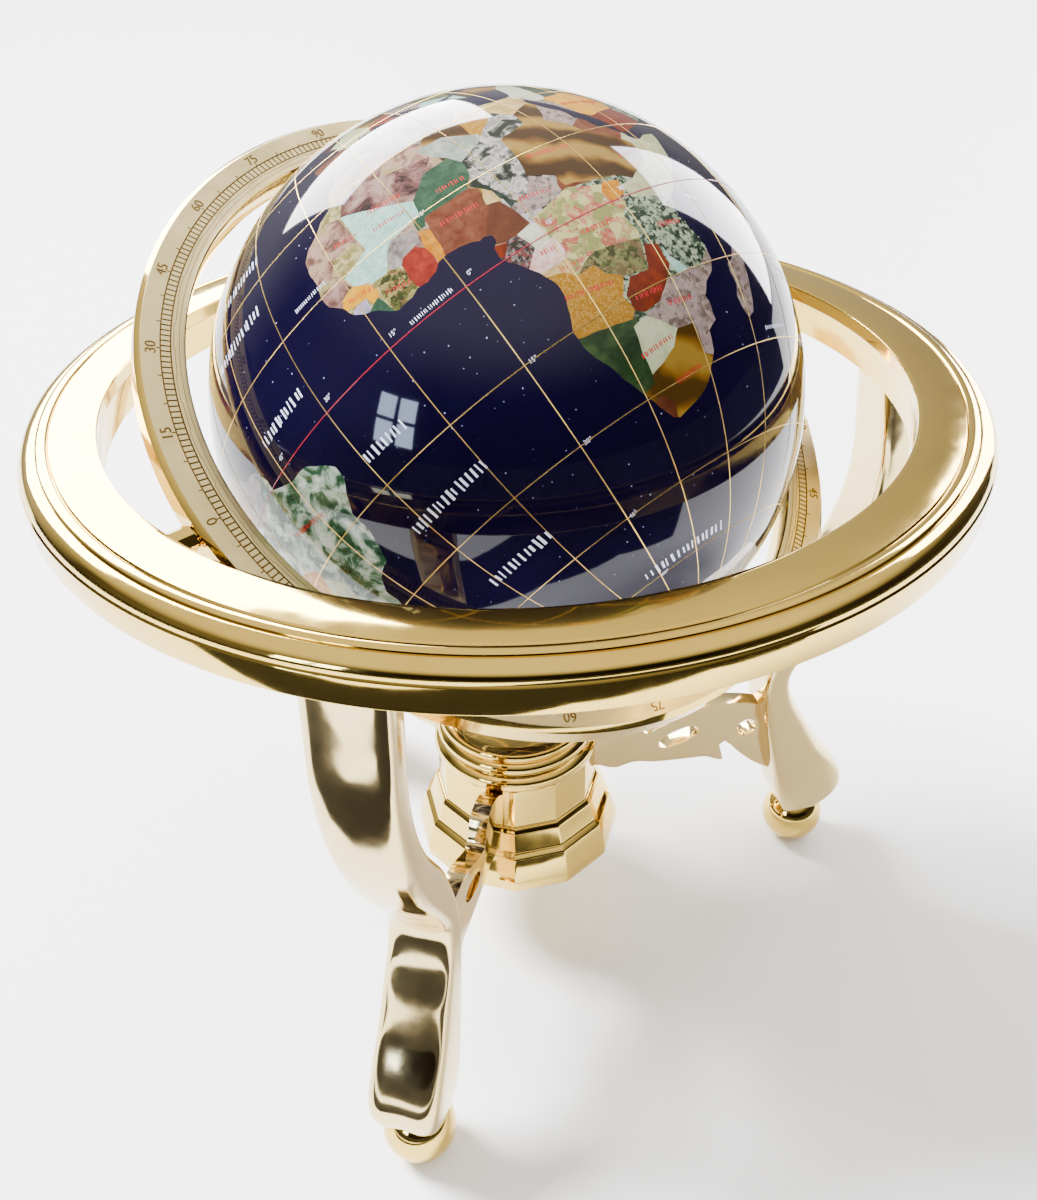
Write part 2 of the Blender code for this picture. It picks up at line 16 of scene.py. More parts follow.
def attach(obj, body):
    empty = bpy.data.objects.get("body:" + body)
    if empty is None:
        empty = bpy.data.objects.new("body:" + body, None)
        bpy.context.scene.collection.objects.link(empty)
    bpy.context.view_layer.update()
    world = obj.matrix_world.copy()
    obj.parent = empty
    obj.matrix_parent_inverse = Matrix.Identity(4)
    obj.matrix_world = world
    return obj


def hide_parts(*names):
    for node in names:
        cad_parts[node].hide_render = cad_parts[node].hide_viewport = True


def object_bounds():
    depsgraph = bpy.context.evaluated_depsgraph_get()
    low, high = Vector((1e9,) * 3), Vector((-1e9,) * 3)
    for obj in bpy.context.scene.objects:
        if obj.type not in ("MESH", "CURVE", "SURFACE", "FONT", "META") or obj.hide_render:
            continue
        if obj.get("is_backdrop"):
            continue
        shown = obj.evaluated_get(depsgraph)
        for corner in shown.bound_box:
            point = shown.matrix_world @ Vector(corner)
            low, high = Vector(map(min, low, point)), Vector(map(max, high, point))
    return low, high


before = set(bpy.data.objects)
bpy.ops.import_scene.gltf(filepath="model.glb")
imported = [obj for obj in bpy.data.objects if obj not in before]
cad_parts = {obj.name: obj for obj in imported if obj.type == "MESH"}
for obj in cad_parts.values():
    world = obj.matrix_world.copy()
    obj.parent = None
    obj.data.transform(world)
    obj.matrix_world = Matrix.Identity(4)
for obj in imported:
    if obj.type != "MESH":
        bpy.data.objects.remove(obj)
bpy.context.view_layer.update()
MM = 0.001

# %% [markdown]
# These sizes are the CAD model's own, in millimetres. The globe's pole leans towards +Y, the
# tilt pins lie along X and the floor is z = 0. Everything below is worked out from them.

# %% Shared sizes
GLOBE_RADIUS = 110.0
CENTRE = Vector((0.0, 0.0, 268.0))
POLE_FROM_VERTICAL = radians(55.8)
PRIME_MERIDIAN_TURN = radians(34.5)
RING_INNER = 119.6
RING_OUTER = 136.6
RING_HALF_THICKNESS = 5.8
HORIZON_INNER = 148.5
HORIZON_OUTER = 176.2
LEG_AZIMUTHS = {"back": radians(90.0), "left": radians(210.0), "right": radians(330.0)}
POLAR_AXIS = Vector((0.0, sin(POLE_FROM_VERTICAL), cos(POLE_FROM_VERTICAL)))
RING_NORMAL = Vector((0.0, -cos(POLE_FROM_VERTICAL), sin(POLE_FROM_VERTICAL)))
TILT_AXIS = Vector((1.0, 0.0, 0.0))


def frame_of(axis, reference, centre):
    """Placement whose Z is the axis and whose X is the reference direction."""
    turn = Matrix((reference, axis.cross(reference), axis)).transposed()
    return Matrix.Translation(centre) @ turn.to_4x4()


ring_place = frame_of(RING_NORMAL, TILT_AXIS, CENTRE)
first_meridian = RING_NORMAL * cos(PRIME_MERIDIAN_TURN) - TILT_AXIS * sin(PRIME_MERIDIAN_TURN)
globe_place = frame_of(POLAR_AXIS, first_meridian, CENTRE)
print("pole direction:", [round(v, 3) for v in POLAR_AXIS])

# %% [markdown]
# The camera was solved from the photograph, fitted to both edges of the wide ring, the
# numerals, the ball feet and the globe's wires. Its three directions are written out as the
# columns of its turn.

# %% Camera
CAMERA_RIGHT = (0.7207, -0.6930, -0.0182)
CAMERA_UP = (0.4109, 0.4057, 0.8164)
CAMERA_BACK = (-0.5583, -0.5959, 0.5772)
CAMERA_AT = Vector((-0.2906, -0.3138, 0.4769))
camera_data = bpy.data.cameras.new("photo_camera")
camera_data.sensor_fit = "VERTICAL"
camera_data.sensor_height = 36.0
camera_data.lens = 37.254
camera_data.clip_start = 0.01
camera = bpy.data.objects.new("photo_camera", camera_data)
turn = Matrix((CAMERA_RIGHT, CAMERA_UP, CAMERA_BACK)).transposed()
camera.matrix_world = Matrix.Translation(CAMERA_AT) @ turn.to_4x4()
bpy.context.scene.collection.objects.link(camera)
bpy.context.scene.camera = camera
print("camera looks from", [round(v, 3) for v in CAMERA_AT])

# %% [markdown]
# Colours are written as sRGB hex, which is how a picker shows them, and a shader works in
# linear light, so one function converts. One more adds a node to any tree with its settings
# and its links, and a few small ones stand on it: a node's first output, a sum, a blend of two
# colours and a noise of a given size. They keep every tree below short enough to read.


# %% Colour and node helpers
def linear(code):
    """Linear RGBA of an sRGB hex colour."""
    channels = [int(code[i : i + 2], 16) / 255 for i in (1, 3, 5)]
    return (*(c / 12.92 if c <= 0.04045 else ((c + 0.055) / 1.055) ** 2.4 for c in channels), 1.0)


def add_node(tree, kind, settings=None, links=None):
    """Add a node, set its properties or unlinked sockets, and link outputs into its sockets."""
    node = tree.nodes.new(kind)
    for key, value in (settings or {}).items():
        if isinstance(key, str) and hasattr(node, key):
            setattr(node, key, value)
        else:
            node.inputs[key].default_value = value
    for key, output in (links or {}).items():
        tree.links.new(output, node.inputs[key])
    return node


def first_of(tree, kind, settings=None, links=None):
    """First output of a new node."""
    return add_node(tree, kind, settings, links).outputs[0]


def feed(tree, node, values):
    """Link every value that is an output, and set every plain one."""
    for key, value in values.items():
        if isinstance(value, bpy.types.NodeSocket):
            tree.links.new(value, node.inputs[key])
        else:
            node.inputs[key].default_value = value


def maths(tree, operation, *values):
    """Result of one sum on outputs and plain numbers."""
    node = add_node(tree, "ShaderNodeMath", {"operation": operation})
    feed(tree, node, dict(enumerate(values)))
    return node.outputs[0]


def mix_colours(tree, factor, first, second):
    """Blend of two colours, plain ones or outputs."""
    node = add_node(tree, "ShaderNodeMix", {"data_type": "RGBA"}, {"Factor": factor})
    feed(tree, node, {6: first, 7: second})
    return node.outputs[2]


def noise(tree, place, size_mm, **settings):
    """Soft noise whose figures are about this many millimetres wide."""
    return first_of(tree, "ShaderNodeTexNoise", {"Scale": 1 / (size_mm * MM), **settings}, {"Vector": place})


def new_finish(name, settings):
    """Material whose shader sockets are set straight away, and its tree and shader."""
    finish = bpy.data.materials.new(name)
    finish.use_nodes = True
    shader = finish.node_tree.nodes["Principled BSDF"]
    for socket, value in settings.items():
        shader.inputs[socket].default_value = value
    return finish, finish.node_tree, shader


# %% [markdown]
# Polished plate shows the room more than itself, so the light is what makes it look like
# gold. The room is a soft studio: white behind the globe and overhead, dim elsewhere, with one
# wide panel behind, a tall one at the right and a small four-pane window that shows on the
# resin. A black card lies on the table on the camera's side, and a low dark drape stands round
# half of it. Both are there only for reflections, as photographers use them to give plate its
# dark edges and a dark ball its depth, and the camera never sees them. Two soft suns light the
# table and the stones.

# %% Floor, black card and drape
floor_finish = new_finish("pale_painted_table", {"Base Color": linear("#F0F1F5"), "Roughness": 0.6})[0]
felt_finish = new_finish("black_felt", {"Base Color": linear("#0B0B0D"), "Roughness": 0.9})[0]
FLOOR_REACH = 9.0
CARD_LIFT = 0.002
CARD_CORNERS = (
    (-0.43, 0.10), (-0.245, -0.05), (-0.225, -0.13), (-0.19, -0.30), (-0.05, -0.46), (0.12, -0.48),
    (0.35, -1.0), (-0.62, -1.0), (-0.42, -0.28), (-0.455, -0.12), (-0.56, 0.0), (-0.53, 0.18),
)
DRAPE_REACH = 1.6
DRAPE_HEIGHT = 0.33
DRAPE_FROM = 112.0
DRAPE_TO = 348.0
DRAPE_PANELS = 24


def flat_stage(name, corners, faces, finish):
    """A plain piece of the studio, which is no part of the object."""
    mesh = bpy.data.meshes.new(name)
    mesh.from_pydata(corners, [], faces)
    mesh.materials.append(finish)
    piece = bpy.data.objects.new(name, mesh)
    bpy.context.scene.collection.objects.link(piece)
    piece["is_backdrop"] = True
    return piece


SQUARE = ((-1, -1), (1, -1), (1, 1), (-1, 1))
floor_corners = [(x * FLOOR_REACH, y * FLOOR_REACH, 0.0) for x, y in SQUARE]
flat_stage("floor", floor_corners, [(0, 1, 2, 3)], floor_finish)
card_points = [(x, y, CARD_LIFT) for x, y in CARD_CORNERS]
card = flat_stage("black_card", card_points, [tuple(range(len(card_points)))], felt_finish)
drape_points = []
for k in range(DRAPE_PANELS + 1):
    angle = radians(DRAPE_FROM + (DRAPE_TO - DRAPE_FROM) * k / DRAPE_PANELS)
    x, y = DRAPE_REACH * cos(angle), DRAPE_REACH * sin(angle)
    drape_points += [(x, y, 0.0), (x, y, DRAPE_HEIGHT)]
drape_faces = [(2 * k, 2 * k + 2, 2 * k + 3, 2 * k + 1) for k in range(DRAPE_PANELS)]
drape = flat_stage("dark_drape", drape_points, drape_faces, felt_finish)
for hidden in (card, drape):
    hidden.visible_camera = False
    hidden.visible_diffuse = False
    hidden.visible_shadow = False

# %% World
# Each stop: its share of the way round, from -X by -Y, +X and +Y, and the wall's tone there.
# Heights are the upward part of a direction of length one.
WALLS = (
    (0.00, "#7A756F"), (0.05, "#2B2724"), (0.24, "#1E1B1A"), (0.30, "#4A4642"), (0.37, "#332C38"),
    (0.44, "#4A4643"), (0.52, "#77726D"), (0.60, "#EDE9E3"), (0.78, "#EDE9E3"), (0.84, "#5A554F"),
    (0.93, "#8A857E"), (1.00, "#7A756F"),
)
CEILING_TONE = (1.5, 1.42, 1.25, 1.0)
CEILING_START = 0.4
CEILING_FULL = 0.85
WALL_FOOT = -0.05
WALL_FULL = 0.22
FOOT_STRENGTH = 0.35
world = bpy.data.worlds.new("soft_room")
world.use_nodes = True
bpy.context.scene.world = world
room = world.node_tree
room.nodes.clear()
look = add_node(room, "ShaderNodeTexCoord").outputs["Generated"]
part = add_node(room, "ShaderNodeSeparateXYZ", None, {0: look}).outputs
around = maths(room, "ARCTAN2", part["Y"], part["X"])
share = add_node(room, "ShaderNodeMapRange", {"From Min": -pi, "From Max": pi}, {"Value": around})
walls = add_node(room, "ShaderNodeValToRGB", None, {"Fac": share.outputs[0]})
for k, (spot, code) in enumerate(WALLS):
    stop = walls.color_ramp.elements[k] if k < 2 else walls.color_ramp.elements.new(spot)
    stop.position = spot
    stop.color = linear(code)
rise = first_of(room, "ShaderNodeMapRange", {
    "interpolation_type": "SMOOTHSTEP", "From Min": CEILING_START, "From Max": CEILING_FULL,
}, {"Value": part["Z"]})
tone = mix_colours(room, rise, walls.outputs["Color"], CEILING_TONE)
strength = first_of(room, "ShaderNodeMapRange", {
    "From Min": WALL_FOOT, "From Max": WALL_FULL, "To Min": FOOT_STRENGTH, "To Max": 1.0,
}, {"Value": part["Z"]})
sky = first_of(room, "ShaderNodeBackground", None, {"Color": tone, "Strength": strength})
add_node(room, "ShaderNodeOutputWorld", None, {"Surface": sky})


# %% Light panels
# Each panel: azimuth and elevation in degrees, distance and size in metres, watts and colour.
PANELS = {
    "window_behind": (74, 29, 3.6, (2.6, 1.5), 460.0, "#FFFFFF"),
    "window_right": (4, 20, 2.0, (0.78, 1.45), 98.0, "#F8F6FF"),
}
PANE_AZIMUTH = 187
PANE_ELEVATION = 14
for column in (-1, 1):
    for row in (-1, 1):
        spot = (PANE_AZIMUTH + column * 4.0, PANE_ELEVATION + row * 4.2)
        PANELS[f"pane_{column}_{row}"] = (*spot, 1.6, (0.17, 0.2), 2.8, "#CFE0FF")

# Each sun: azimuth, elevation, strength and spread, with the angles in degrees.
SUNS = {"daylight_from_window": (112, 50, 19.0, 22), "daylight_from_room": (305, 58, 2.8, 110)}


def light_panel(name, azimuth, elevation, distance, size, power, colour):
    """Bright panel that faces the globe and is seen only as a reflection."""
    data = bpy.data.lights.new(name, "AREA")
    data.shape = "RECTANGLE"
    data.size, data.size_y = size
    data.energy = power
    data.color = linear(colour)[:3]
    way = Vector((
        cos(radians(azimuth)) * cos(radians(elevation)),
        sin(radians(azimuth)) * cos(radians(elevation)),
        sin(radians(elevation)),
    ))
    panel = bpy.data.objects.new(name, data)
    aim = way.to_track_quat("Z", "Y").to_matrix().to_4x4()
    panel.matrix_world = Matrix.Translation(CENTRE * MM + way * distance) @ aim
    panel.visible_camera = False
    panel.visible_diffuse = False
    bpy.context.scene.collection.objects.link(panel)


def soft_sun(name, azimuth, elevation, strength, spread):
    """Even light from far away that lights table and stone but isn't mirrored in the plate."""
    data = bpy.data.lights.new(name, "SUN")
    data.energy = strength
    data.angle = radians(spread)
    sun = bpy.data.objects.new(name, data)
    sun.rotation_euler = (0.0, radians(90 - elevation), radians(azimuth))
    sun.visible_glossy = False
    bpy.context.scene.collection.objects.link(sun)


for name, values in PANELS.items():
    light_panel(name, *values)
for name, values in SUNS.items():
    soft_sun(name, *values)

# %% [markdown]
# Most metal pieces are turned or lofted, so two mesh makers are enough: one spins a section
# about Z and one skins a stack of equal loops. Others turn a modifier's result into a plain
# mesh, round a casting's edges, give a piece its finish and shading, and give it its body. The
# last draws a smooth path through a few points.


# %% Mesh helpers
def turned(profile, segments, closed=True):
    """Spin a (radius, height) section about Z; a point at radius 0 closes it at the axis."""
    builder = bmesh.new()
    rings = []
    for radius, height in profile:
        if radius == 0.0:
            rings.append([builder.verts.new((0.0, 0.0, height))])
            continue
        angles = [tau * k / segments for k in range(segments)]
        rings.append([builder.verts.new((radius * cos(a), radius * sin(a), height)) for a in angles])
    pairs = list(zip(rings, rings[1:]))
    if closed and len(rings[0]) > 1:
        pairs.append((rings[-1], rings[0]))
    for first, second in pairs:
        for k in range(segments):
            n = (k + 1) % segments
            if len(first) == 1:
                builder.faces.new((first[0], second[n], second[k]))
            elif len(second) == 1:
                builder.faces.new((first[k], first[n], second[0]))
            else:
                builder.faces.new((first[k], first[n], second[n], second[k]))
    return builder


def loft(loops):
    """Skin equal loops of points and cap both ends."""
    builder = bmesh.new()
    rings = [[builder.verts.new(point) for point in loop] for loop in loops]
    for lower, upper in zip(rings, rings[1:]):
        for i in range(len(lower)):
            j = (i + 1) % len(lower)
            builder.faces.new((lower[i], lower[j], upper[j], upper[i]))
    builder.faces.new(list(reversed(rings[0])))
    builder.faces.new(rings[-1])
    return builder


def settle(piece):
    """Turn what the piece's modifiers make into its plain mesh."""
    graph = bpy.context.evaluated_depsgraph_get()
    mesh = bpy.data.meshes.new_from_object(piece.evaluated_get(graph))
    piece.modifiers.clear()
    piece.data = mesh
    return piece


def round_edges(piece, width, segments, least_angle, sharp):
    """Bevel a piece's edges by a width in millimetres and keep only sharper ones crisp."""
    rounding = piece.modifiers.new("rounded_edges", "BEVEL")
    rounding.width = width * MM
    rounding.segments = segments
    rounding.limit_method = "ANGLE"
    rounding.angle_limit = radians(least_angle)
    settle(piece)
    piece.data.shade_smooth()
    piece.data.set_sharp_from_angle(angle=radians(sharp))


def add_piece(name, builder, finishes, place=None, sharp=30.0):
    """Make a bmesh in millimetres into an object in metres."""
    mesh = bpy.data.meshes.new(name)
    bmesh.ops.transform(builder, matrix=Matrix.Scale(MM, 4) @ (place or Matrix()), verts=builder.verts)
    bmesh.ops.recalc_face_normals(builder, faces=builder.faces)
    builder.to_mesh(mesh)
    builder.free()
    for finish in finishes:
        mesh.materials.append(finish)
    mesh.shade_smooth()
    mesh.set_sharp_from_angle(angle=radians(sharp))
    piece = bpy.data.objects.new(name, mesh)
    bpy.context.scene.collection.objects.link(piece)
    return piece


def belongs(piece, body, slot, *nodes):
    """Let a piece ride on its body and stand for its CAD nodes; the slot is not used."""
    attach(piece, body)
    if nodes:
        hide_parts(*nodes)
    print(f"{piece.name}: {len(piece.data.polygons)} faces on {body}")
    return piece


def smooth_path(points, samples):
    """Points along a smooth curve through the given ones, with the last."""
    path = []
    last = len(points) - 1
    for i in range(last):
        a, b, c, d = (Vector(points[max(0, min(last, k))]) for k in (i - 1, i, i + 1, i + 2))
        for s in range(samples):
            t = s / samples
            slope = (c - a) * t + (2 * a - 5 * b + 4 * c - d) * t**2 + (3 * b - a - 3 * c + d) * t**3
            path.append((2 * b + slope) / 2)
    path.append(Vector(points[-1]))
    return path


# %% [markdown]
# The stand is cast metal, buffed and then plated. Buffing leaves a surface that is nearly a
# mirror but not quite flat: broad, shallow waves bend the reflections, and hair-fine
# polishing marks soften them here and there. Metal keeps the default IOR, because its colour
# alone sets how it reflects. Three tones are seen: yellow gold, a paler champagne on the legs
# and an olive satin gold on the graduated ring.


# %% Plated metal finishes
DRIFT_MM = 38
HAZE_MM = 9
HAZE_FROM = 0.35
HAZE_TO = 0.75
HAZE_ROUGHER = 1.9
WAVE_STRENGTH = 0.35


def plated(name, base, worn, roughness, wave_mm, wave_depth):
    """Buffed plate: tone drifts a little, waves bend the reflections, haze comes in patches."""
    finish, tree, shader = new_finish(name, {"Metallic": 1.0})
    place = add_node(tree, "ShaderNodeTexCoord").outputs["Object"]
    tone = mix_colours(tree, noise(tree, place, DRIFT_MM, Detail=2.0), linear(base), linear(worn))
    tree.links.new(tone, shader.inputs["Base Color"])
    haze = noise(tree, place, HAZE_MM, Detail=5.0, Roughness=0.65)
    spread = first_of(tree, "ShaderNodeMapRange", {
        "From Min": HAZE_FROM, "From Max": HAZE_TO, "To Min": roughness, "To Max": roughness * HAZE_ROUGHER,
    }, {"Value": haze})
    tree.links.new(spread, shader.inputs["Roughness"])
    waves = noise(tree, place, wave_mm, Detail=1.0)
    hollows = {"Strength": WAVE_STRENGTH, "Distance": wave_depth * MM}
    bump = first_of(tree, "ShaderNodeBump", hollows, {"Height": waves})
    tree.links.new(bump, shader.inputs["Normal"])
    return finish


bright_gold = plated("buffed_gold_plate", "#E4C468", "#D3B052", 0.055, 26.0, 0.9)
pale_gold = plated("champagne_gold_plate", "#E2CB92", "#D4BA7E", 0.075, 22.0, 0.9)
satin_gold = plated("satin_olive_gold_plate", "#EEDCA8", "#E0CA8E", 0.27, 30.0, 0.5)
# The fourth, dark gold is painted shade: it darkens the ring's channel floor, ticks, fine lines and numerals
# as if they lay in shadow.
painted_shade_gold = plated("gold_with_painted_shade", "#86693A", "#6B5029", 0.34, 6.0, 0.3)
print("plated finishes:", bright_gold.name, pale_gold.name, satin_gold.name)

# %% [markdown]
# The horizon ring is one casting with a turned section: a plain inner wall, a sharp lip, a
# wide band with a low crown, a step, a bead, a groove, a quarter-round roll and a flat side
# band. Spinning one finely drawn section gives all of it, with true curves. Small numbers in
# the section are the roundings of its edges in millimetres.

# %% Horizon ring
HORIZON_TOP = 9.4
HORIZON_WALL = HORIZON_INNER + 0.8
BAND_CROWN = 0.28
BEAD_WIDTH = 4.1
BEAD_RISE = 0.9
ROLL_WIDTH = 5.7
ROLL_LOW = 3.2
ROLL_START = HORIZON_OUTER - 0.6 - ROLL_WIDTH
GROOVE_FLOOR = HORIZON_TOP - 1.3
INNER_DROP = 9.7
OUTER_DROP = 6.7
BAND_PARTS = 14
BEAD_PARTS = 12
ROLL_PARTS = 16
HORIZON_SEGMENTS = 288


def horizon_underside(radius):
    """Depth of the sloping underside below the globe's centre."""
    share = (radius - HORIZON_INNER) / (HORIZON_OUTER - HORIZON_INNER)
    return INNER_DROP + share * (OUTER_DROP - INNER_DROP)


def horizon_section():
    """Section of the ring, inside wall up, over the top and down the side."""
    bead_end = ROLL_START - 0.6
    bead_start = bead_end - BEAD_WIDTH
    band_end = bead_start - 0.5
    band_low = HORIZON_TOP - BAND_CROWN
    section = [
        (HORIZON_WALL + 0.4, -horizon_underside(HORIZON_WALL)),
        (HORIZON_WALL, 0.4 - horizon_underside(HORIZON_WALL)),
        (HORIZON_WALL, 2.9), (HORIZON_WALL - 0.15, 3.25), (HORIZON_INNER, 4.0),
        (HORIZON_INNER, band_low - 0.55), (HORIZON_INNER + 0.18, band_low - 0.16),
    ]
    band_start = HORIZON_INNER + 0.55
    for k in range(BAND_PARTS + 1):
        share = k / BAND_PARTS
        height = band_low + BAND_CROWN * sin(pi * share)
        section.append((band_start + (band_end - 0.2 - band_start) * share, height))
    section += [(band_end, band_low - 0.15), (bead_start, HORIZON_TOP - 0.9)]
    middle = (bead_start + bead_end) / 2
    for k in range(1, BEAD_PARTS):
        angle = pi - pi * k / BEAD_PARTS
        height = HORIZON_TOP - BEAD_RISE + BEAD_RISE * sin(angle)
        section.append((middle + BEAD_WIDTH / 2 * cos(angle), height))
    section += [(bead_end, GROOVE_FLOOR), (ROLL_START - 0.1, GROOVE_FLOOR)]
    for k in range(ROLL_PARTS + 1):
        angle = pi / 2 * (1 - k / ROLL_PARTS)
        height = ROLL_LOW + (GROOVE_FLOOR - ROLL_LOW) * sin(angle)
        section.append((ROLL_START + ROLL_WIDTH * cos(angle), height))
    low = -horizon_underside(HORIZON_OUTER)
    section += [
        (HORIZON_OUTER - 0.2, 2.7), (HORIZON_OUTER, 2.4), (HORIZON_OUTER, low + 0.5),
        (HORIZON_OUTER - 0.15, low + 0.15), (HORIZON_OUTER - 0.5, low),
    ]
    return section


horizon = add_piece(
    "horizon_ring_polished", turned(horizon_section(), HORIZON_SEGMENTS), [bright_gold],
    Matrix.Translation(CENTRE), 24.0,
)
belongs(horizon, "stand", "bright_gold", "horizon_ring")

# %% [markdown]
# Each leg is a casting shaped like a lazy S: deep at the knee, waisted below it and swelling
# to a toe over the ball foot. Its cross-section is a rounded rectangle all the way, so the
# leg is a stack of such sections whose place, depth and width follow smooth tables, the same
# ones that the CAD model uses, with many more sections. A shallow groove runs down the front
# of the toe.

# %% Legs and ball feet
FOOT_CIRCLE = 145.1
BALL_RADIUS = 14.9
BALL_FLAT_ANGLE = radians(78.0)
BALL_BANDS = 28
BALL_SEGMENTS = 56
BALL_HEIGHT = BALL_RADIUS * sin(BALL_FLAT_ANGLE)
LEG_UNDERSIDE = BALL_HEIGHT + BALL_RADIUS - 1.5
LEG_SEAT = HORIZON_INNER + 11.5
LEG_DEPTH = 15.6
LEG_WIDTH = 29.0
SEAT_GAP = 0.3

# Each row: share of the leg's height, shift outward in millimetres, depth and width as shares.
LEG_SHAPE = (
    (0.00, -0.4, 1.41, 0.88), (0.03, 1.2, 2.02, 0.96), (0.06, 0.7, 2.29, 1.00),
    (0.09, -1.2, 2.31, 1.02), (0.13, -5.4, 2.10, 1.01), (0.19, -12.8, 1.66, 0.98),
    (0.26, -19.6, 1.32, 0.95), (0.32, -25.0, 0.98, 0.92), (0.38, -27.4, 0.85, 0.90),
    (0.43, -24.4, 1.03, 0.90), (0.48, -19.4, 1.28, 0.91), (0.54, -12.8, 1.44, 0.93),
    (0.64, -1.4, 1.16, 0.96), (0.73, 4.1, 0.96, 0.99), (0.82, 5.2, 0.95, 1.00),
    (0.91, 2.6, 0.97, 1.01), (1.00, 0.0, 1.00, 1.02),
)
LEG_LEVELS = 96
LEVEL_CROWDING = 1.15
LEG_POINTS = 64
LEG_CORNER_POWER = 6.5
TOE_GROOVE_DEPTH = 1.5
TOE_GROOVE_HALF_WIDTH = 4.5
TOE_TOP = 0.2
TOE_FADE = 0.7
FACE_CROWN = 2.2


def leg_value(column, share):
    """Read one column of the leg table along a smooth curve."""
    last = len(LEG_SHAPE) - 1
    i = max(k for k in range(last) if LEG_SHAPE[k][0] <= share or k == 0)
    a, b, c, d = (LEG_SHAPE[max(0, min(last, k))] for k in (i - 1, i, i + 1, i + 2))
    width = c[0] - b[0]
    t = (share - b[0]) / width
    slope_in = (c[column] - a[column]) / (c[0] - a[0]) * width
    slope_out = (d[column] - b[column]) / (d[0] - b[0]) * width
    return (
        (2 * t**3 - 3 * t**2 + 1) * b[column] + (t**3 - 2 * t**2 + t) * slope_in
        + (3 * t**2 - 2 * t**3) * c[column] + (t**3 - t**2) * slope_out
    )


def leg_reach(share, side):
    """Distance from the axis to the leg's outer (1), inner (-1) or middle (0) line."""
    straight = FOOT_CIRCLE + (LEG_SEAT - FOOT_CIRCLE) * share
    return straight + leg_value(1, share) + side * LEG_DEPTH / 2 * leg_value(2, share)


def leg_height(share, radius):
    """Height over the floor at a share of the leg's own height."""
    seat = CENTRE.z - horizon_underside(radius) - SEAT_GAP
    return LEG_UNDERSIDE + (seat - LEG_UNDERSIDE) * share


def rounded_wave(angle):
    """Cosine flattened towards a square wave, which rounds a rectangle's corners."""
    value = cos(angle)
    return abs(value) ** (2 / LEG_CORNER_POWER) * (1 if value >= 0 else -1)


def leg_loops():
    """Sections of a leg that points along X."""
    loops = []
    for level in range(LEG_LEVELS):
        share = (level / (LEG_LEVELS - 1)) ** LEVEL_CROWDING
        middle = leg_reach(share, 0)
        half_depth = leg_reach(share, 1) - middle
        half_width = LEG_WIDTH / 2 * leg_value(3, share)
        loop = []
        for k in range(LEG_POINTS):
            angle = tau * k / LEG_POINTS
            radial = middle + half_depth * rounded_wave(angle)
            sideways = half_width * rounded_wave(angle - pi / 2)
            if cos(angle) > 0:
                radial -= FACE_CROWN * (sideways / half_width) ** 2
                fade = max(0.0, 1 - share / TOE_TOP) ** TOE_FADE
                groove = exp(-((sideways / TOE_GROOVE_HALF_WIDTH) ** 2))
                radial -= TOE_GROOVE_DEPTH * fade * groove
            loop.append(Vector((radial, sideways, leg_height(share, radial))))
        loops.append(loop)
    return loops


def ball_section(bands):
    """Section of a ball with a small flat to stand on."""
    section = [(0.0, -BALL_RADIUS * sin(BALL_FLAT_ANGLE))]
    for k in range(bands):
        angle = -BALL_FLAT_ANGLE + (pi / 2 + BALL_FLAT_ANGLE) * k / bands
        section.append((BALL_RADIUS * cos(angle), BALL_RADIUS * sin(angle)))
    return section + [(0.0, BALL_RADIUS)]


BALL_PLACE = Matrix.Translation(Vector((FOOT_CIRCLE, 0.0, BALL_HEIGHT)))
for label, azimuth in LEG_AZIMUTHS.items():
    aim = Matrix.Rotation(azimuth, 4, "Z")
    leg = add_piece(f"leg_casting_{label}", loft(leg_loops()), [pale_gold], aim, 50.0)
    belongs(leg, "stand", "pale_gold", f"leg_{label}")
    ball = turned(ball_section(BALL_BANDS), BALL_SEGMENTS)
    ball = add_piece(f"ball_foot_polished_{label}", ball, [bright_gold], aim @ BALL_PLACE)
    belongs(ball, "stand", "bright_gold", f"ball_foot_{label}")

# %% [markdown]
# The hub ties the legs together. Its neck is turned, with a stack of soft mouldings; below
# that the casting is twelve-sided and steps outward in tiers, and each flat facet catches
# its own piece of the room. A small bevel on every facet edge keeps the light line that real
# castings show there.

# %% Hub
HUB_TOP = 118.0
HUB_SIDES = 12

# Each step: radius and drop below the hub's top, in millimetres.
NECK_STEPS = (
    (28.6, 0.0), (30.5, 0.15), (33.2, 1.4), (34.2, 3.2), (33.7, 4.9), (32.3, 5.7), (33.6, 6.6),
    (35.2, 8.6), (35.0, 10.8), (33.4, 12.2), (35.0, 13.4), (36.8, 15.4), (36.8, 18.2), (35.7, 20.2),
    (34.4, 20.7),
)
TIER_STEPS = (
    (35.2, 19.6), (36.0, 20.4), (36.2, 41.2), (37.2, 41.6), (38.6, 43.6), (41.0, 52.4), (41.6, 52.8),
    (43.6, 54.4), (47.1, 65.6), (47.1, 70.8), (43.4, 74.6),
)
neck_side = [(point.x, HUB_TOP - point.y) for point in smooth_path(NECK_STEPS, 4)]
neck_foot = HUB_TOP - NECK_STEPS[-1][1]
neck = turned([(0.0, HUB_TOP), *neck_side, (0.0, neck_foot)], 120)
first_corner = LEG_AZIMUTHS["back"] + pi / HUB_SIDES
tiers = []
for radius, drop in reversed(TIER_STEPS):
    angles = [first_corner + tau * k / HUB_SIDES for k in range(HUB_SIDES)]
    tiers.append([Vector((radius * cos(a), radius * sin(a), HUB_TOP - drop)) for a in angles])
hub = add_piece("hub_facets", loft(tiers), [bright_gold], None, 18.0)
round_edges(hub, 0.55, 3, 8.0, 32.0)
belongs(hub, "stand", "bright_gold", "hub")
hub_neck = add_piece("hub_neck", neck, [bright_gold], None, 40.0)
belongs(hub_neck, "stand", "bright_gold", "hub")

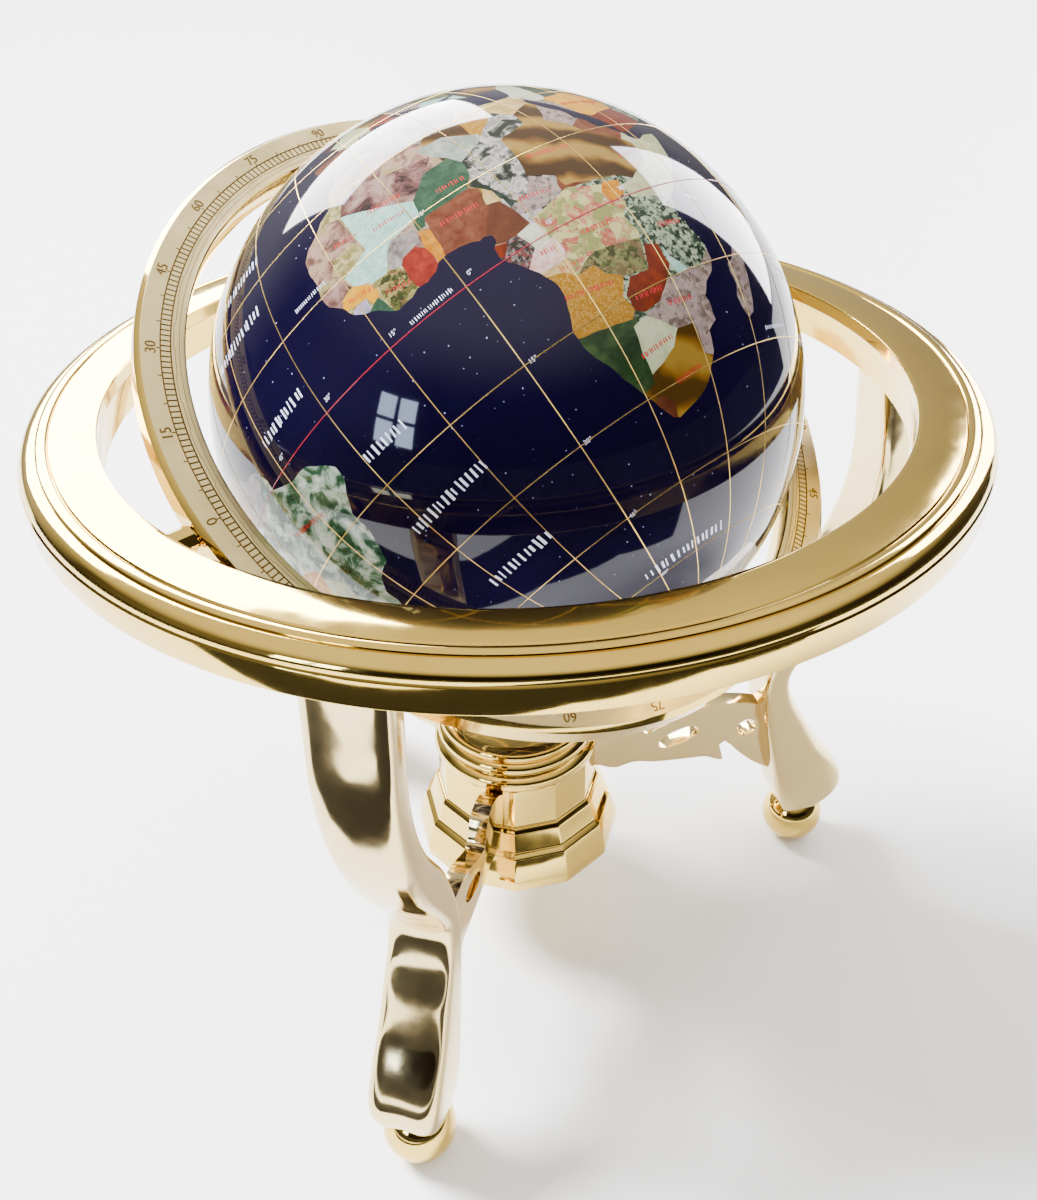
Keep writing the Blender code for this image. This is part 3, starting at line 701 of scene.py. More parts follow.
# %% [markdown]
# A scroll plate is a pierced casting, eight millimetres thick, with a curl by the hub, a long
# slanting slot and a small round eye by the leg. It is drawn as an outline with holes, filled,
# given its thickness and rounded over along its edges, like a sand casting after fettling.

# %% Scroll plates
PLATE_HALF = 4.0

# Each point: share of the way from hub to leg, and drop below the hub's top in millimetres.
PLATE_UPPER_EDGE = (
    (0.00, 23.0), (0.08, 17.6), (0.19, 16.0), (0.27, 20.6), (0.31, 28.2), (0.38, 27.8),
    (0.50, 23.0), (0.64, 19.2), (0.78, 18.8), (0.90, 20.6), (1.00, 23.4),
)
PLATE_LOWER_EDGES = (
    ((1.00, 66.0), (0.91, 60.0), (0.85, 53.7), (0.80, 46.6), (0.765, 42.6)),
    (
        (0.728, 44.4), (0.722, 54.2), (0.63, 50.4), (0.52, 49.4), (0.34, 47.6), (0.22, 45.2),
        (0.10, 46.6), (0.00, 42.0),
    ),
)
HUB_CORNERS = (
    (30.5, 0.0), (33.6, 1.6), (34.2, 3.6), (32.6, 5.6), (35.2, 7.8), (35.2, 10.2), (33.6, 12.2),
    (36.8, 14.8), (36.8, 18.4), (36.0, 20.4), (36.2, 41.2), (38.6, 43.6), (41.0, 52.4), (43.6, 54.4),
    (47.1, 65.6), (47.1, 70.8),
)
EDGE_SAMPLES = 7
LEG_SIDE_PARTS = 16
PLATE_SINK = 0.6

# Each opening: its centre as above, half length, half height, turn in degrees and points.
OPENINGS = ((0.505, 34.6, 10.2, 4.6, 17.0, 40), (0.905, 36.4, 4.9, 4.9, 0.0, 28))


def plate_point(share, drop):
    """Point between the hub's face and the leg's inner face, as (reach, height)."""
    height = HUB_TOP - drop
    for (upper_radius, upper), (lower_radius, lower) in zip(HUB_CORNERS, HUB_CORNERS[1:]):
        if upper <= drop <= lower:
            slope = (lower_radius - upper_radius) * (drop - upper) / (lower - upper)
            corner = upper_radius + slope
            break
    leg_share = 0.5
    for _ in range(12):
        seat = CENTRE.z - horizon_underside(leg_reach(leg_share, -1)) - SEAT_GAP
        leg_share = (height - LEG_UNDERSIDE) / (seat - LEG_UNDERSIDE)
    hub_end = corner * cos(pi / HUB_SIDES)
    leg_end = leg_reach(leg_share, -1) + PLATE_SINK
    return Vector((hub_end + (leg_end - hub_end) * share, height))


def plate_outline():
    """Outer edge of a plate."""
    points = smooth_path(PLATE_UPPER_EDGE, EDGE_SAMPLES)
    leg_top, leg_bottom = PLATE_UPPER_EDGE[-1][1], PLATE_LOWER_EDGES[0][0][1]
    for k in range(1, LEG_SIDE_PARTS):
        points.append(Vector((1.0, leg_top + (leg_bottom - leg_top) * k / LEG_SIDE_PARTS)))
    for edge in PLATE_LOWER_EDGES:
        points += smooth_path(edge, EDGE_SAMPLES)
    return [plate_point(share, drop) for share, drop in points]


def ellipse(centre, half_length, half_height, rise, count):
    """Closed loop of points round an ellipse that is turned by rise, in degrees."""
    tilt = Matrix.Rotation(radians(rise), 2)
    angles = [tau * k / count for k in range(count)]
    return [centre + tilt @ Vector((half_length * cos(a), half_height * sin(a))) for a in angles]


def make_plate(label, azimuth):
    """One pierced plate with rounded edges and its piercings."""
    builder = bmesh.new()
    edges = []
    openings = [ellipse(plate_point(share, drop), *size) for share, drop, *size in OPENINGS]
    for loop in (plate_outline(), *openings):
        verts = [builder.verts.new((point.x, -PLATE_HALF, point.y)) for point in loop]
        edges += [builder.edges.new((a, b)) for a, b in zip(verts, verts[1:] + verts[:1])]
    bmesh.ops.triangle_fill(builder, edges=edges, use_beauty=True)
    raised = bmesh.ops.extrude_face_region(builder, geom=builder.faces[:])
    moved = [item for item in raised["geom"] if isinstance(item, bmesh.types.BMVert)]
    bmesh.ops.translate(builder, vec=(0.0, 2 * PLATE_HALF, 0.0), verts=moved)
    aim = Matrix.Rotation(azimuth, 4, "Z")
    plate = add_piece(f"scroll_plate_casting_{label}", builder, [pale_gold], aim, 40.0)
    round_edges(plate, 1.1, 4, 60.0, 40.0)
    belongs(plate, "stand", "pale_gold", f"scroll_plate_{label}")


for label, azimuth in LEG_AZIMUTHS.items():
    make_plate(label, azimuth)

# %% [markdown]
# Two pins carry the graduated ring in the horizon ring, each with an eight-sided collar, and
# two more carry the sphere in the graduated ring. They are turned parts with small chamfers.

# %% Pins
def chamfered(section, size):
    """Cut each outer corner of a pin's section back by a small chamfer."""
    result = []
    for before, corner, after in zip([section[0]] + section, section, section[1:] + [section[-1]]):
        if before == corner or after == corner or corner[0] == 0.0:
            result.append(corner)
            continue
        for neighbour in (before, after):
            way = Vector(neighbour) - Vector(corner)
            step = min(size, way.length / 3)
            result.append(tuple(Vector(corner) + way.normalized() * step))
    return result


PIN_RADIUS = 3.0
PIN_CHAMFER = 0.35
TILT_PIN_DEPTH = 7.0
AXIS_PIN_DEPTH = 6.0
NUT_BORE = 2.9
NUT_RADIUS = 4.7
POLE_COLLAR_RADIUS = 5.4
for label, side in (("left", -1.0), ("right", 1.0)):
    end, wall = RING_OUTER - TILT_PIN_DEPTH, HORIZON_WALL
    low, high = RING_OUTER + 1.0, HORIZON_INNER - 2.6
    place = frame_of(TILT_AXIS * side, Vector((0.0, 1.0, 0.0)), CENTRE)
    shaft = [(0.0, end), (PIN_RADIUS, end), (PIN_RADIUS, wall), (0.0, wall)]
    pin = turned(chamfered(shaft, PIN_CHAMFER), 40)
    pin = add_piece(f"tilt_pin_turned_{label}", pin, [bright_gold], place)
    belongs(pin, "stand", "bright_gold", f"tilt_pin_{label}")
    nut = [(NUT_BORE, low), (NUT_RADIUS, low), (NUT_RADIUS, high), (NUT_BORE, high)]
    collar = turned(chamfered(nut, PIN_CHAMFER), 8)
    collar = add_piece(f"tilt_collar_{label}", collar, [bright_gold], place, 20.0)
    belongs(collar, "stand", "bright_gold", f"tilt_pin_{label}")
for label, side in (("north", 1.0), ("south", -1.0)):
    end, rim = GLOBE_RADIUS - AXIS_PIN_DEPTH, RING_OUTER - 0.3
    low, high = GLOBE_RADIUS + 0.6, RING_INNER - 0.3
    section = [
        (0.0, end), (PIN_RADIUS, end), (PIN_RADIUS, low), (POLE_COLLAR_RADIUS, low),
        (POLE_COLLAR_RADIUS, high), (PIN_RADIUS, high), (PIN_RADIUS, rim), (0.0, rim),
    ]
    place = frame_of(POLAR_AXIS * side, TILT_AXIS, CENTRE)
    pin = turned(chamfered(section, PIN_CHAMFER), 48)
    pin = add_piece(f"axis_pin_turned_{label}", pin, [bright_gold], place)
    belongs(pin, "meridian", "bright_gold", f"axis_pin_{label}")

# %% [markdown]
# The graduated ring is a flat ring with a bright chamfer at its rim and a satin face. The
# degree scale is cast into the face: a shallow channel holds a row of little raised cells,
# one for each degree, and beside it run two fine lines, the outer one stepping in and out.
# The bores for the four pins are cut with a Boolean, because the ring turns on two of them.

# %% Graduated ring
CHANNEL_INNER = 124.5
CHANNEL_OUTER = 128.4
CHANNEL_DEPTH = 0.4
LINE_RADII = (123.3, 121.9)
RING_SEGMENTS = 360


def ring_face():
    """Upper half of the ring's section, from the inner edge to the rim."""
    top = RING_HALF_THICKNESS
    face = [
        (RING_INNER, top - 1.1), (RING_INNER + 0.15, top - 0.6), (RING_INNER + 0.5, top - 0.2),
        (RING_INNER + 1.1, top),
    ]
    face += [
        (CHANNEL_INNER, top), (CHANNEL_INNER + 0.15, top - CHANNEL_DEPTH),
        (CHANNEL_OUTER - 0.15, top - CHANNEL_DEPTH), (CHANNEL_OUTER, top),
    ]
    return face + [(RING_OUTER - 2.0, top), (RING_OUTER - 1.85, top - 0.1), (RING_OUTER, top - 2.0)]


section = ring_face() + [(radius, -height) for radius, height in reversed(ring_face())]
ring_finishes = [satin_gold, bright_gold, painted_shade_gold]
ring = add_piece("meridian_ring_cast", turned(section, RING_SEGMENTS), ring_finishes, ring_place, 25.0)
BORE_END = 144.0

# Each bore: its direction, where it starts and its radius.
bores = [(POLAR_AXIS * side, 112.0, 3.3) for side in (1.0, -1.0)]
bores += [(TILT_AXIS * side, RING_OUTER - 7.5, 3.5) for side in (-1.0, 1.0)]
cutters = []
for number, (way, start, radius) in enumerate(bores):
    tool = turned([(0.0, start), (radius, start), (radius, BORE_END), (0.0, BORE_END)], 40)
    place = frame_of(way, way.orthogonal().normalized(), CENTRE)
    cutter = add_piece(f"bore_cutter_{number}", tool, [satin_gold], place)
    step = ring.modifiers.new(cutter.name, "BOOLEAN")
    step.operation = "DIFFERENCE"
    step.object = cutter
    cutters.append(cutter)
settle(ring)
for cutter in cutters:
    bpy.data.objects.remove(cutter, do_unlink=True)
to_ring = ring_place.inverted()
# The channel floor takes the dark gold, painted shade that darkens the gaps between the degree cells.
for face in ring.data.polygons:
    local = to_ring @ (face.center / MM)
    reach, height = local.xy.length, abs(local.z)
    if height > RING_HALF_THICKNESS - CHANNEL_DEPTH - 0.05 and CHANNEL_INNER < reach < CHANNEL_OUTER:
        face.material_index = 2
    elif reach > RING_OUTER - 1.9 or reach < RING_INNER + 0.6:
        face.material_index = 1
ring.data.set_sharp_from_angle(angle=radians(25.0))
belongs(ring, "meridian", "satin_gold", "meridian_ring")


# %% [markdown]
# The cells, ticks and fine lines repeat all the way round, so a geometry-node tree makes
# them: points on a circle, a small shape on each, turned to face outward, and the whole set
# repeated for the back of the ring. Named inputs hold the sizes. A second tree bends a circle
# in and out every five degrees and gives it a thin section.


# %% Geometry-node helpers
def new_tree(name, inputs):
    """Geometry tree with named inputs, given as (name, socket kind, value), and its two ends."""
    tree = bpy.data.node_groups.new(name, "GeometryNodeTree")
    tree.interface.new_socket("Geometry", in_out="INPUT", socket_type="NodeSocketGeometry")
    tree.interface.new_socket("Geometry", in_out="OUTPUT", socket_type="NodeSocketGeometry")
    for label, kind, value in inputs:
        socket = tree.interface.new_socket(label, in_out="INPUT", socket_type=f"NodeSocket{kind}")
        if value is not None:
            socket.default_value = value
    return tree, add_node(tree, "NodeGroupInput").outputs


def close_tree(tree, geometry, material):
    """End a tree with real geometry in its own material."""
    real = first_of(tree, "GeometryNodeRealizeInstances", None, {"Geometry": geometry})
    painted = first_of(tree, "GeometryNodeSetMaterial", None, {"Geometry": real, "Material": material})
    add_node(tree, "NodeGroupOutput", None, {"Geometry": painted})


def on_both_faces(tree, geometry, given):
    """Lift what was made to the ring's upper face, repeat it on the lower one and end the tree."""
    lift = first_of(tree, "ShaderNodeCombineXYZ", None, {"Z": given["Height"]})
    upper = first_of(tree, "GeometryNodeTransform", None, {"Geometry": geometry, "Translation": lift})
    lower = first_of(tree, "GeometryNodeTransform", {"Rotation": (pi, 0.0, 0.0)}, {"Geometry": upper})
    both = add_node(tree, "GeometryNodeJoinGeometry", None, {0: upper})
    tree.links.new(lower, both.inputs[0])
    close_tree(tree, both.outputs[0], given["Material"])


def curve_circle(tree, points, radius):
    """Circle of a fixed number of points."""
    return first_of(tree, "GeometryNodeCurvePrimitiveCircle", {"Resolution": points}, {"Radius": radius})


def thicken(tree, curve, radius):
    """Solid six-sided line along a curve."""
    gauge = curve_circle(tree, 6, radius)
    return first_of(tree, "GeometryNodeCurveToMesh", None, {"Curve": curve, "Profile Curve": gauge})


def grow(name, tree, values, place, start_mesh=None):
    """Run a tree with these input values and keep the result as a plain mesh in metres."""
    piece = bpy.data.objects.new(name, start_mesh or bpy.data.meshes.new(name))
    bpy.context.scene.collection.objects.link(piece)
    maker = piece.modifiers.new(tree.name, "NODES")
    maker.node_group = tree
    for item in tree.interface.items_tree:
        if item.in_out == "INPUT" and item.name in values:
            maker[item.identifier] = values[item.name]
    settle(piece)
    piece.data.transform(Matrix.Scale(MM, 4) @ place)
    piece.data.shade_smooth()
    piece.data.set_sharp_from_angle(angle=radians(50.0))
    return piece


# %% Cells, ticks and stepped lines
LINE_POINTS = 1440
STEP_POINTS = 20.0
tree, given = new_tree("marks_round_a_ring", (
    ("Count", "Int", 360), ("Radius", "Float", 126.4), ("Height", "Float", 5.4),
    ("Mark Size", "Vector", (1.0, 1.0, 1.0)), ("Material", "Material", None),
))
links = {"Vertices": given["Count"], "Radius": given["Radius"]}
circle = first_of(tree, "GeometryNodeMeshCircle", None, links)
where = first_of(tree, "GeometryNodeInputPosition")
outward = first_of(tree, "FunctionNodeAlignRotationToVector", {"axis": "X"}, {"Vector": where})
cell = first_of(tree, "GeometryNodeMeshCube", {"Size": (1.0, 1.0, 1.0)})
placed = first_of(tree, "GeometryNodeInstanceOnPoints", None, {
    "Points": circle, "Instance": cell, "Rotation": outward, "Scale": given["Mark Size"],
})
on_both_faces(tree, placed, given)

# The ticks take the dark gold, painted shade that makes them look like shadowed marks.
# Each set of marks: count, radius, height, size of a mark and finish.
MARKS = {
    "degree_cells": (360, 126.45, 5.5, (2.9, 1.62, 0.5), satin_gold),
    "five_degree_ticks": (72, 128.9, 5.78, (1.5, 0.4, 0.14), painted_shade_gold),
}
for name, values in MARKS.items():
    values = dict(zip(("Count", "Radius", "Height", "Mark Size", "Material"), values))
    belongs(grow(name, tree, values, ring_place), "meridian", "satin_gold")

tree, given = new_tree("stepped_line", (
    ("Radius", "Float", 123.3), ("Step", "Float", 0.5), ("Height", "Float", 5.8),
    ("Width", "Float", 0.3), ("Material", "Material", None),
))
path = curve_circle(tree, LINE_POINTS, given["Radius"])
block = maths(tree, "FLOOR", maths(tree, "DIVIDE", first_of(tree, "GeometryNodeInputIndex"), STEP_POINTS))
amount = maths(tree, "MULTIPLY", maths(tree, "MODULO", block, 2.0), given["Step"])
spot = first_of(tree, "GeometryNodeInputPosition")
way = first_of(tree, "ShaderNodeVectorMath", {"operation": "NORMALIZE"}, {0: spot})
shift = first_of(tree, "ShaderNodeVectorMath", {"operation": "SCALE"}, {0: way, "Scale": amount})
stepped = first_of(tree, "GeometryNodeSetPosition", None, {"Geometry": path, "Offset": shift})
on_both_faces(tree, thicken(tree, stepped, given["Width"]), given)
# The fine lines take the dark gold, painted shade along them.
for number, radius in enumerate(LINE_RADII):
    values = {"Radius": radius, "Step": 0.45 * (1 - number), "Height": 5.72, "Width": 0.14}
    fine_line = grow(f"stepped_line_{number}", tree, {**values, "Material": painted_shade_gold}, ring_place)
    belongs(fine_line, "meridian", "satin_gold")

# %% [markdown]
# Latitudes are cast beside the scale every fifteen degrees, 0 at the tilt pins and 90 at the
# poles, with the tops of the numerals outward. Text objects give clean shapes; each is made a
# mesh with a little thickness before it is placed.

# %% Numerals
NUMERAL_RADIUS = 131.2
NUMERAL_HEIGHT = 3.7
NUMERAL_RELIEF = 0.36
NUMERAL_SINK = 0.02


def text_mesh(words, height, thickness):
    """Flat text in millimetres, centred, given a thickness along Z, as a bmesh."""
    curve = bpy.data.curves.new("text", "FONT")
    curve.body = words
    curve.align_x = "CENTER"
    curve.align_y = "CENTER"
    curve.size = height * 1.4
    curve.extrude = thickness / 2
    curve.resolution_u = 3
    item = bpy.data.objects.new("text", curve)
    bpy.context.scene.collection.objects.link(item)
    graph = bpy.context.evaluated_depsgraph_get()
    mesh = bpy.data.meshes.new_from_object(item.evaluated_get(graph))
    builder = bmesh.new()
    builder.from_mesh(mesh)
    bpy.data.objects.remove(item, do_unlink=True)
    bmesh.ops.remove_doubles(builder, verts=builder.verts, dist=0.001)
    return builder


def join_placed(target, part, place):
    """Copy a bmesh into another one at a placement."""
    bmesh.ops.transform(part, matrix=place, verts=part.verts)
    copy = bpy.data.meshes.new("part")
    part.to_mesh(copy)
    part.free()
    target.from_mesh(copy)
    bpy.data.meshes.remove(copy)


numerals = bmesh.new()
for step in range(24):
    angle = tau * step / 24
    from_pin = abs((step * 15 + 90) % 180 - 90)
    for face_side in (1.0, -1.0):
        outward = Vector((cos(angle), sin(angle), 0.0))
        up = Vector((0.0, 0.0, face_side))
        turn = Matrix((outward.cross(up), outward, up)).transposed().to_4x4()
        spot = outward * NUMERAL_RADIUS + up * (RING_HALF_THICKNESS - NUMERAL_SINK)
        numeral = text_mesh(str(from_pin), NUMERAL_HEIGHT, NUMERAL_RELIEF)
        join_placed(numerals, numeral, Matrix.Translation(spot) @ turn)
# The numerals take the dark gold, painted shade that makes them look dark against the face.
numeral_piece = add_piece("latitude_numerals", numerals, [painted_shade_gold], ring_place)
belongs(numeral_piece, "meridian", "satin_gold")

# %% [markdown]
# The sphere is cast resin, tinted deep navy with fine mineral flecks, ground and polished
# after the stones are set. The stones are sawn slabs of jasper, jade, agate, tiger-eye and the
# like, each with its own figure: clouds, grains or bands. All share one polish, so each
# finish has the same near-mirror gloss of wax over polish, and only the colour below it
# changes. Figure sizes are in millimetres of real stone.


# %% Resin and stone finishes
POLISH = {"Roughness": 0.045, "Specular IOR Level": 0.32}
TINT_MM = 45
FLECK_MM = 2.6
FLECK_CORE = 0.045
FLECK_EDGE = 0.11
FLECKS_FROM = 0.62
FLECKS_TO = 0.98
FLECK_STRENGTH = 0.9
resin, tree, shader = new_finish("navy_tinted_resin", POLISH)
place = add_node(tree, "ShaderNodeTexCoord").outputs["Object"]
body = mix_colours(tree, noise(tree, place, TINT_MM, Detail=2.0), linear("#050212"), linear("#0B0625"))
fleck = add_node(tree, "ShaderNodeTexVoronoi", {"Scale": 1 / (FLECK_MM * MM)}, {"Vector": place})
dot = first_of(tree, "ShaderNodeMapRange", {
    "From Min": FLECK_CORE, "From Max": FLECK_EDGE, "To Min": 1.0, "To Max": 0.0,
}, {"Value": fleck.outputs["Distance"]})
pick = first_of(tree, "ShaderNodeSeparateColor", None, {0: fleck.outputs["Color"]})
rare = first_of(tree, "ShaderNodeMapRange", {
    "From Min": FLECKS_FROM, "From Max": FLECKS_TO, "To Min": 0.0, "To Max": FLECK_STRENGTH,
}, {"Value": pick})
surface = mix_colours(tree, maths(tree, "MULTIPLY", dot, rare), body, linear("#A9B4E6"))
tree.links.new(surface, shader.inputs["Base Color"])

STONE_SATURATION = 1.15
STONE_VALUE = 0.49
CRYSTAL_SHARE = 0.42
CLOUD_SHARE = 0.35

# Each stone: pattern, size of its figure in millimetres, how sharp its tones part (0 to 1)
# and its tones from the darkest to the lightest.
STONES = {
    "amazonite": ("cloud", 2.2, 0.3, "#8DBBB0", "#A9CFC5", "#C6DFD6"),
    "serpentine": ("cloud", 4.0, 0.3, "#22382C", "#36523F", "#4C6651"),
    "salmon_jasper": ("cloud", 3.0, 0.3, "#5F3428", "#704638", "#825846"),
    "red_jasper": ("cloud", 3.0, 0.3, "#6E2C2C", "#8C403B", "#9F4E45"),
    "amber_jasper": ("cloud", 2.5, 0.4, "#A85F2A", "#C98738", "#D99D4C"),
    "grey_marble": ("cloud", 4.0, 0.6, "#5A5352", "#8C8583", "#ABA4A2"),
    "epidote_granite": ("grain", 1.9, 1.1, "#33391F", "#5F6437", "#6E4B3B", "#98905F"),
    "yellow_calcite": ("cloud", 5.0, 0.3, "#CE8A38", "#E0A54A", "#EDBE6B"),
    "lilac_lepidolite": ("cloud", 2.0, 0.5, "#857F97", "#A7A2B6", "#BEB9CB"),
    "dusty_rhyolite": ("cloud", 6.0, 1.3, "#6B5049", "#96796C", "#B79C8C", "#A2916E"),
    "olive_jasper": ("grain", 1.8, 0.5, "#80794F", "#9C956A", "#BDB38B"),
    "umber_jasper": ("cloud", 8.0, 1.3, "#2F2424", "#6E4F4C", "#93756E", "#A58E86"),
    "sage_marble": ("cloud", 5.0, 0.5, "#7C847A", "#99A097", "#B7BCB3"),
    "zebra_agate": ("cloud", 6.5, 1.5, "#232622", "#5B5E57", "#C9C5C0", "#8E8A88"),
    "brown_jasper": ("cloud", 6.0, 0.3, "#46291F", "#5C392D", "#6F4838"),
    "black_jade": ("cloud", 4.0, 0.3, "#141C17", "#243029", "#35463B"),
    "buff_onyx": ("cloud", 3.0, 0.4, "#A98F5C", "#C6AD7B", "#D9C79C"),
    "white_howlite": ("cloud", 3.0, 0.3, "#B9BDA4", "#D3D6C1", "#E6E6D8"),
    "pink_quartz": ("cloud", 2.0, 0.5, "#C89A94", "#E2C3BD", "#F0DFDA"),
    "speckled_gabbro": ("grain", 1.3, 1.2, "#2E2927", "#5C5451", "#8F8784", "#6E4540"),
    "tiger_eye": ("band", 12.0, 0.1, "#3E2C1B", "#64492C", "#876A3F", "#9F8352"),
    "cream_onyx": ("cloud", 5.0, 0.4, "#A0A27D", "#BBBC96", "#CFCFB0"),
    "mahogany_jasper": ("cloud", 4.0, 0.3, "#55200F", "#6F2F22", "#843E2E"),
    "mauve_marble": ("grain", 2.0, 0.6, "#6B5D57", "#8F8179", "#AB9E96", "#9A8488"),
    "gold_tiger_eye": ("band", 14.0, 0.3, "#4A371F", "#6B4F2C", "#86673A", "#9C7E48"),
    "nephrite": ("cloud", 7.0, 0.5, "#1A2A1B", "#2C3F28", "#435637"),
    "sand_jasper": ("grain", 0.7, 0.4, "#9A6F34", "#AC8247", "#BD985E"),
    "unakite": ("grain", 4.2, 1.2, "#8E8F5E", "#B0B07C", "#A65F55", "#C08A78", "#C8C48F"),
    "moss_unakite": ("grain", 2.6, 1.1, "#3A3E26", "#5C5F3C", "#83835A", "#6B5B43"),
    "green_granite": ("grain", 1.6, 1.2, "#27342B", "#5A6A56", "#8B977F", "#AAB49E"),
    "cream_jade": ("cloud", 4.0, 0.3, "#B0BB92", "#C7CEA9", "#D7DBBF"),
    "moss_agate": ("cloud", 7.5, 1.0, "#1E3A2A", "#45654E", "#B4C8B8", "#E3E9E3"),
    "mother_of_pearl": ("cloud", 8.0, 0.3, "#D9D0C8", "#EEE9E2", "#DCE4E2"),
}


def mix_values(tree, share, first, second):
    """Blend of two numbers with a fixed share of the second."""
    return first_of(tree, "ShaderNodeMix", {"data_type": "FLOAT", 0: share}, {2: first, 3: second})


def crystal_figure(tree, place, scale, size):
    """One random number for each crystal of a grainy stone, with crooked crystal walls."""
    bend = add_node(tree, "ShaderNodeTexNoise", {"Scale": scale * 1.5, "Detail": 2.0}, {"Vector": place})
    bent = first_of(tree, "ShaderNodeVectorMath", {
        "operation": "MULTIPLY_ADD", 1: (size * MM,) * 3,
    }, {0: bend.outputs["Color"], 2: place})
    crystals = add_node(tree, "ShaderNodeTexVoronoi", {"Scale": scale * 1.2}, {"Vector": bent})
    return first_of(tree, "ShaderNodeSeparateColor", None, {0: crystals.outputs["Color"]})


def make_stone(name, pattern, size, contrast, *tones):
    """Polished stone whose figure is clouds, grains or bands."""
    finish, tree, shader = new_finish(name, POLISH)
    place = add_node(tree, "ShaderNodeTexCoord").outputs["Object"]
    scale = 1 / (size * MM)
    figure = cloud = noise(tree, place, size, Detail=5.0, Roughness=0.62, Distortion=0.6)
    if pattern == "grain":
        figure = mix_values(tree, CRYSTAL_SHARE, cloud, crystal_figure(tree, place, scale, size))
    if pattern == "band":
        bands = add_node(tree, "ShaderNodeTexWave", {
            "Scale": scale * 0.32, "Distortion": 5.0, "Detail": 3.0, "Detail Scale": 1.4,
            "bands_direction": "DIAGONAL",
        }, {"Vector": place})
        figure = mix_values(tree, CLOUD_SHARE, bands.outputs["Fac"], cloud)
    ramp = add_node(tree, "ShaderNodeValToRGB", None, {"Fac": figure})
    stops = ramp.color_ramp.elements
    half_span = 0.24 - 0.1 * contrast
    for k, code in enumerate(tones):
        spot = 0.5 - half_span + 2 * half_span * k / (len(tones) - 1)
        stop = stops[k] if k < 2 else stops.new(spot)
        stop.position = spot
        stop.color = linear(code)
    depths = {"Saturation": STONE_SATURATION, "Value": STONE_VALUE}
    deepened = first_of(tree, "ShaderNodeHueSaturation", depths, {"Color": ramp.outputs["Color"]})
    tree.links.new(deepened, shader.inputs["Base Color"])
    return finish


stone_finishes = {name: make_stone(name, *recipe) for name, recipe in STONES.items()}
stone_order = list(stone_finishes)
print("stones:", len(stone_finishes))
